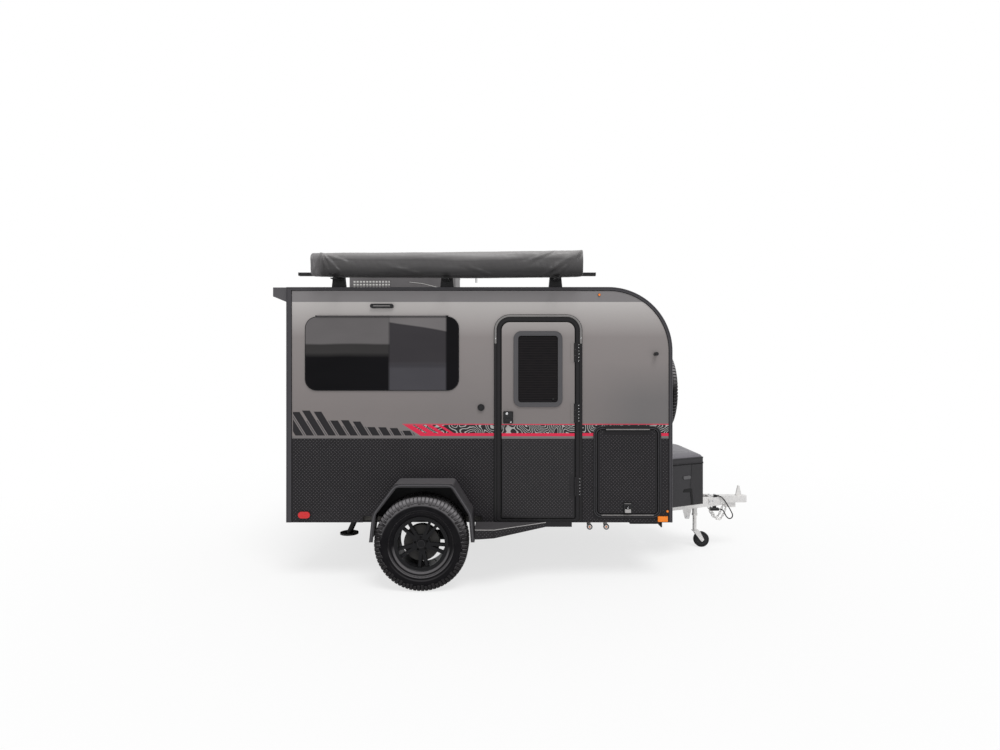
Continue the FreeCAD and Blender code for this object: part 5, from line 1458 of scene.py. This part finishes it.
def rear_details():
    """The screws of the hood and roof, and the folds of the hatch's frame, paler than the frame as painted
    highlights.
    """
    low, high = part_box("rear_hood")
    screws, beads = Shape(), Shape()
    for step in range(HOOD_SCREWS):
        y = HOOD_SCREW_PITCH * (step - (HOOD_SCREWS - 1) / 2)
        screws.dome((low.x + 0.040, y, high.z), UP, 0.006, 0.003, 8)
    for sign in (-1, 1):
        for step in range(ROOF_SCREWS):
            x = ROOF_SCREW_START + ROOF_SCREW_PITCH * step
            screws.dome((x, sign * ROOF_SCREW_Y, high.z), UP, 0.005, 0.0025, 8)
    screws.piece("roof_screws", "steel", "tongue_metal")
    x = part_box("rear_wall")[0].x - 0.0115
    for inset, corner in ((0.004, 0.071), (0.026, 0.049)):
        path = inset_rectangle(spans("hatch_frame", across=1), inset, corner)
        beads.tube([(x, y, z) for y, z in path], 0.0026, 6, 0.8, True)
    # The folds are in a paler grey than the frame: painted highlights.
    beads.piece("hatch_frame_fold_highlights", "edge", "dark_trim")


# Awning bag

# Each fold runs from one point of the bag's face to another, as (x, z, x, z, width, depth)
BAG_FOLDS = (
    (-1.655, 2.598, -1.722, 2.430, 0.012, 0.0070), (-1.655, 2.598, -1.655, 2.430, 0.011, 0.0060),
    (-1.650, 2.598, -1.590, 2.440, 0.012, 0.0065), (-1.640, 2.598, -1.520, 2.470, 0.013, 0.0060),
    (-1.620, 2.598, -1.440, 2.530, 0.014, 0.0045), (-1.730, 2.560, -1.690, 2.440, 0.010, 0.0050),
    (0.372, 2.616, 0.085, 2.428, 0.017, 0.0095), (0.372, 2.616, 0.190, 2.428, 0.013, 0.0060),
    (0.150, 2.616, -0.060, 2.520, 0.015, 0.0060), (0.340, 2.600, 0.300, 2.430, 0.010, 0.0040),
    (-0.900, 2.430, -1.180, 2.500, 0.016, 0.0030), (-0.350, 2.425, -0.560, 2.500, 0.016, 0.0030))
FOLD_GAIN = 2.3
BAG_ROWS = 400
BAG_AROUND = 96
BAG_SQUARE_Y = 0.66
BAG_SQUARE_Z = 0.60


def fold_at(x, z):
    """How far the folds of the bag push its face in or out at a place."""
    total = 0.0
    for x0, z0, x1, z1, width, depth in BAG_FOLDS:
        length = math.hypot(x1 - x0, z1 - z0)
        ahead = ((x1 - x0) / length, (z1 - z0) / length)
        along = (x - x0) * ahead[0] + (z - z0) * ahead[1]
        offset = ((x - x0) * ahead[1] - (z - z0) * ahead[0]) / width
        if abs(offset) > 4 or along < -0.03 or along > length + 0.05:
            continue
        fade = min(1.0, max(0.0, (along + 0.03) / 0.03)) * max(0.0, 1 - along / (length + 0.05)) ** 0.5
        total += FOLD_GAIN * depth * fade * (1.2 * offset + 0.5) * math.exp(-offset * offset)
    return total


def bag_ring(low, high, share):
    """One ring round the bag, at a share of its length from the rear."""
    x = low.x + share * (high.x - low.x)
    end = min(share, 1 - share) * (high.x - low.x)
    close = 0.94 + 0.06 * math.sqrt(max(0.0, 1 - max(0.0, 1 - end / 0.014) ** 2))
    top = high.z + 0.013 - 0.022 * (1 - share) ** 0.8
    bottom = low.z + 0.003 + 0.014 * (1 - math.sin(math.pi * share) ** 0.4)
    middle, half_z = (top + bottom) / 2, (top - bottom) / 2
    centre, half_y = (low + high) / 2, (high.y - low.y) / 2
    near_end = math.exp(-end / 0.20)
    ring = []
    for column in range(BAG_AROUND):
        turn = math.tau * column / BAG_AROUND
        y = math.copysign(abs(math.cos(turn)) ** BAG_SQUARE_Y, math.cos(turn))
        z = math.copysign(abs(math.sin(turn)) ** BAG_SQUARE_Z, math.sin(turn))
        place = Vector((x * 2.0, y * 0.9, z * 1.1))
        swell = noise.noise(place * 1.4) * 0.0060 + noise.noise(place * Vector((3.0, 4.0, 4.0))) * 0.0030
        ripple = 0.0010 * math.sin(110 * x + 3.5 * z + 6 * noise.noise(Vector((x * 3, 0.0, z))))
        out = -0.007 + swell + ripple * (0.3 + 0.7 * near_end)
        reach_y = (half_y - 0.004 + out) * close
        reach_z = (half_z - 0.003 + out * 0.5) * close
        spot = Vector((x, centre.y + y * reach_y, middle + z * reach_z))
        if y < 0:
            spot.y -= fold_at(x, spot.z) * min(1.0, -y * 1.6)
        spot.y = max(spot.y, low.y - 0.002)
        ring.append(spot)
    return ring


def bag_end(ring, sign):
    """Rings that close one end of the bag, from its last ring toward its middle."""
    middle = sum(ring, Vector()) / len(ring)
    rings = []
    for step in (0.72, 0.42, 0.15):
        inner = [middle + (point - middle) * step for point in ring]
        for spot in inner:
            spot.x += sign * 0.004 * math.sin(30 * (spot.z + spot.y)) * step
        rings.append(inner)
    return rings


def bag_mesh():
    """The soft bag, with its sag and the folds at its ends."""
    low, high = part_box("awning_bag")
    rings = [bag_ring(low, high, row / BAG_ROWS) for row in range(BAG_ROWS + 1)]
    shape = Shape()
    shape.loft(bag_end(rings[0], -1)[::-1] + rings + bag_end(rings[-1], 1))
    bag = shape.piece("soft_awning_bag", "vinyl", "bag_vinyl", smooth=70)
    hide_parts("awning_bag")


TAB_STATIONS = (-0.4575, -0.4480)
TAB_HALF = 0.0022


def bag_details():
    """The two thin tabs that hang from the bag."""
    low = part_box("awning_bag")[0]
    tabs = Shape()
    for x in TAB_STATIONS:
        tabs.block((x - TAB_HALF, low.y + 0.032, low.z - 0.034), (x + TAB_HALF, low.y + 0.034, low.z + 0.010))
    tabs.piece("bag_tabs", "plastic", "black_plastic", smooth=None)


for side in SIGN:
    for detail in (tread_on_skin, tread_on_luggage_door, edge_beads, luggage_frame_details,
                   luggage_latch_details, window_details, fender_bead, fender_liner, step_details,
                   side_graphic):
        detail(side)
    tyre(side, "tyre_" + side, "wheel_" + side)
    wheel_trim(side, "wheel_" + side)
tyre("spare", "spare_tyre", "trailer")
wheel_trim("spare", "trailer")
for detail in (tread_on_entry_door, tread_on_ends, entry_frame_beads, entry_frame_fittings,
               entry_door_details, lamp_details, storage_box_details, tongue_details, cooler_details,
               drain_details, rear_details, bag_mesh, bag_details):
    detail()


# Stage

AMBIENT = 0.60
SUN = 1.9
SUN_SPREAD = 28
SUN_TILT = 32
SUN_TURN = 18
FLOOR_REACH = 60.0
FADE_FROM = 2.0
FADE_TO = 7.0
FADE_LEAST = 0.72


def make_floor():
    """A plain pale floor that fades to white away from the part."""
    mesh = bpy.data.meshes.new("floor")
    corners = [(x * FLOOR_REACH, y * FLOOR_REACH, 0) for x, y in ((-1, -1), (1, -1), (1, 1), (-1, 1))]
    mesh.from_pydata(corners, [], [(0, 1, 2, 3)])
    plane = placed("floor", mesh)
    surface = Surface("floor", (0.86, 0.86, 0.86), 0.9, gloss=0.0)
    distance = surface.node("VectorMath", surface.place)
    distance.operation = "LENGTH"
    far = surface.span(distance.outputs["Value"], FADE_FROM, FADE_TO, FADE_LEAST, 1.0)
    share = surface.times(far, surface.node("LightPath").outputs["Is Camera Ray"])
    mix = surface.node("MixShader", share, surface.shader.outputs[0], surface.node("Emission").outputs[0])
    put(surface.tree, surface.tree.nodes["Material Output"].inputs["Surface"], mix.outputs[0])
    mesh.materials.append(surface.material)


def make_world():
    """A soft surround that shows white to the camera and to gloss."""
    world = bpy.data.worlds.new("surround")
    bpy.context.scene.world = world
    world.use_nodes = True
    tree = world.node_tree
    white = (1, 1, 1, 1)
    ambient = tree.nodes["Background"]
    put(tree, ambient.inputs["Color"], white)
    put(tree, ambient.inputs["Strength"], AMBIENT)
    paths = new_node(tree, "LightPath").outputs
    share = paths["Is Camera Ray"]
    for name in ("Is Glossy Ray", "Is Transmission Ray"):
        either = new_node(tree, "Math", share, paths[name])
        either.operation = "MAXIMUM"
        share = either.outputs[0]
    bright = new_node(tree, "Background", white)
    mix = new_node(tree, "MixShader", share, ambient.outputs[0], bright.outputs[0])
    put(tree, tree.nodes["World Output"].inputs["Surface"], mix.outputs[0])


def make_sun():
    """One soft light from above, ahead and to the right."""
    sun = placed("sun", bpy.data.lights.new("sun", "SUN"))
    sun.data.energy = SUN
    sun.data.angle = math.radians(SUN_SPREAD)
    sun.rotation_euler = (math.radians(SUN_TILT), 0, math.radians(SUN_TURN))


make_floor()
make_world()
make_sun()

scene = bpy.context.scene
scene.view_settings.view_transform = "Standard"
scene.render.resolution_x = 1000
scene.render.resolution_y = 750
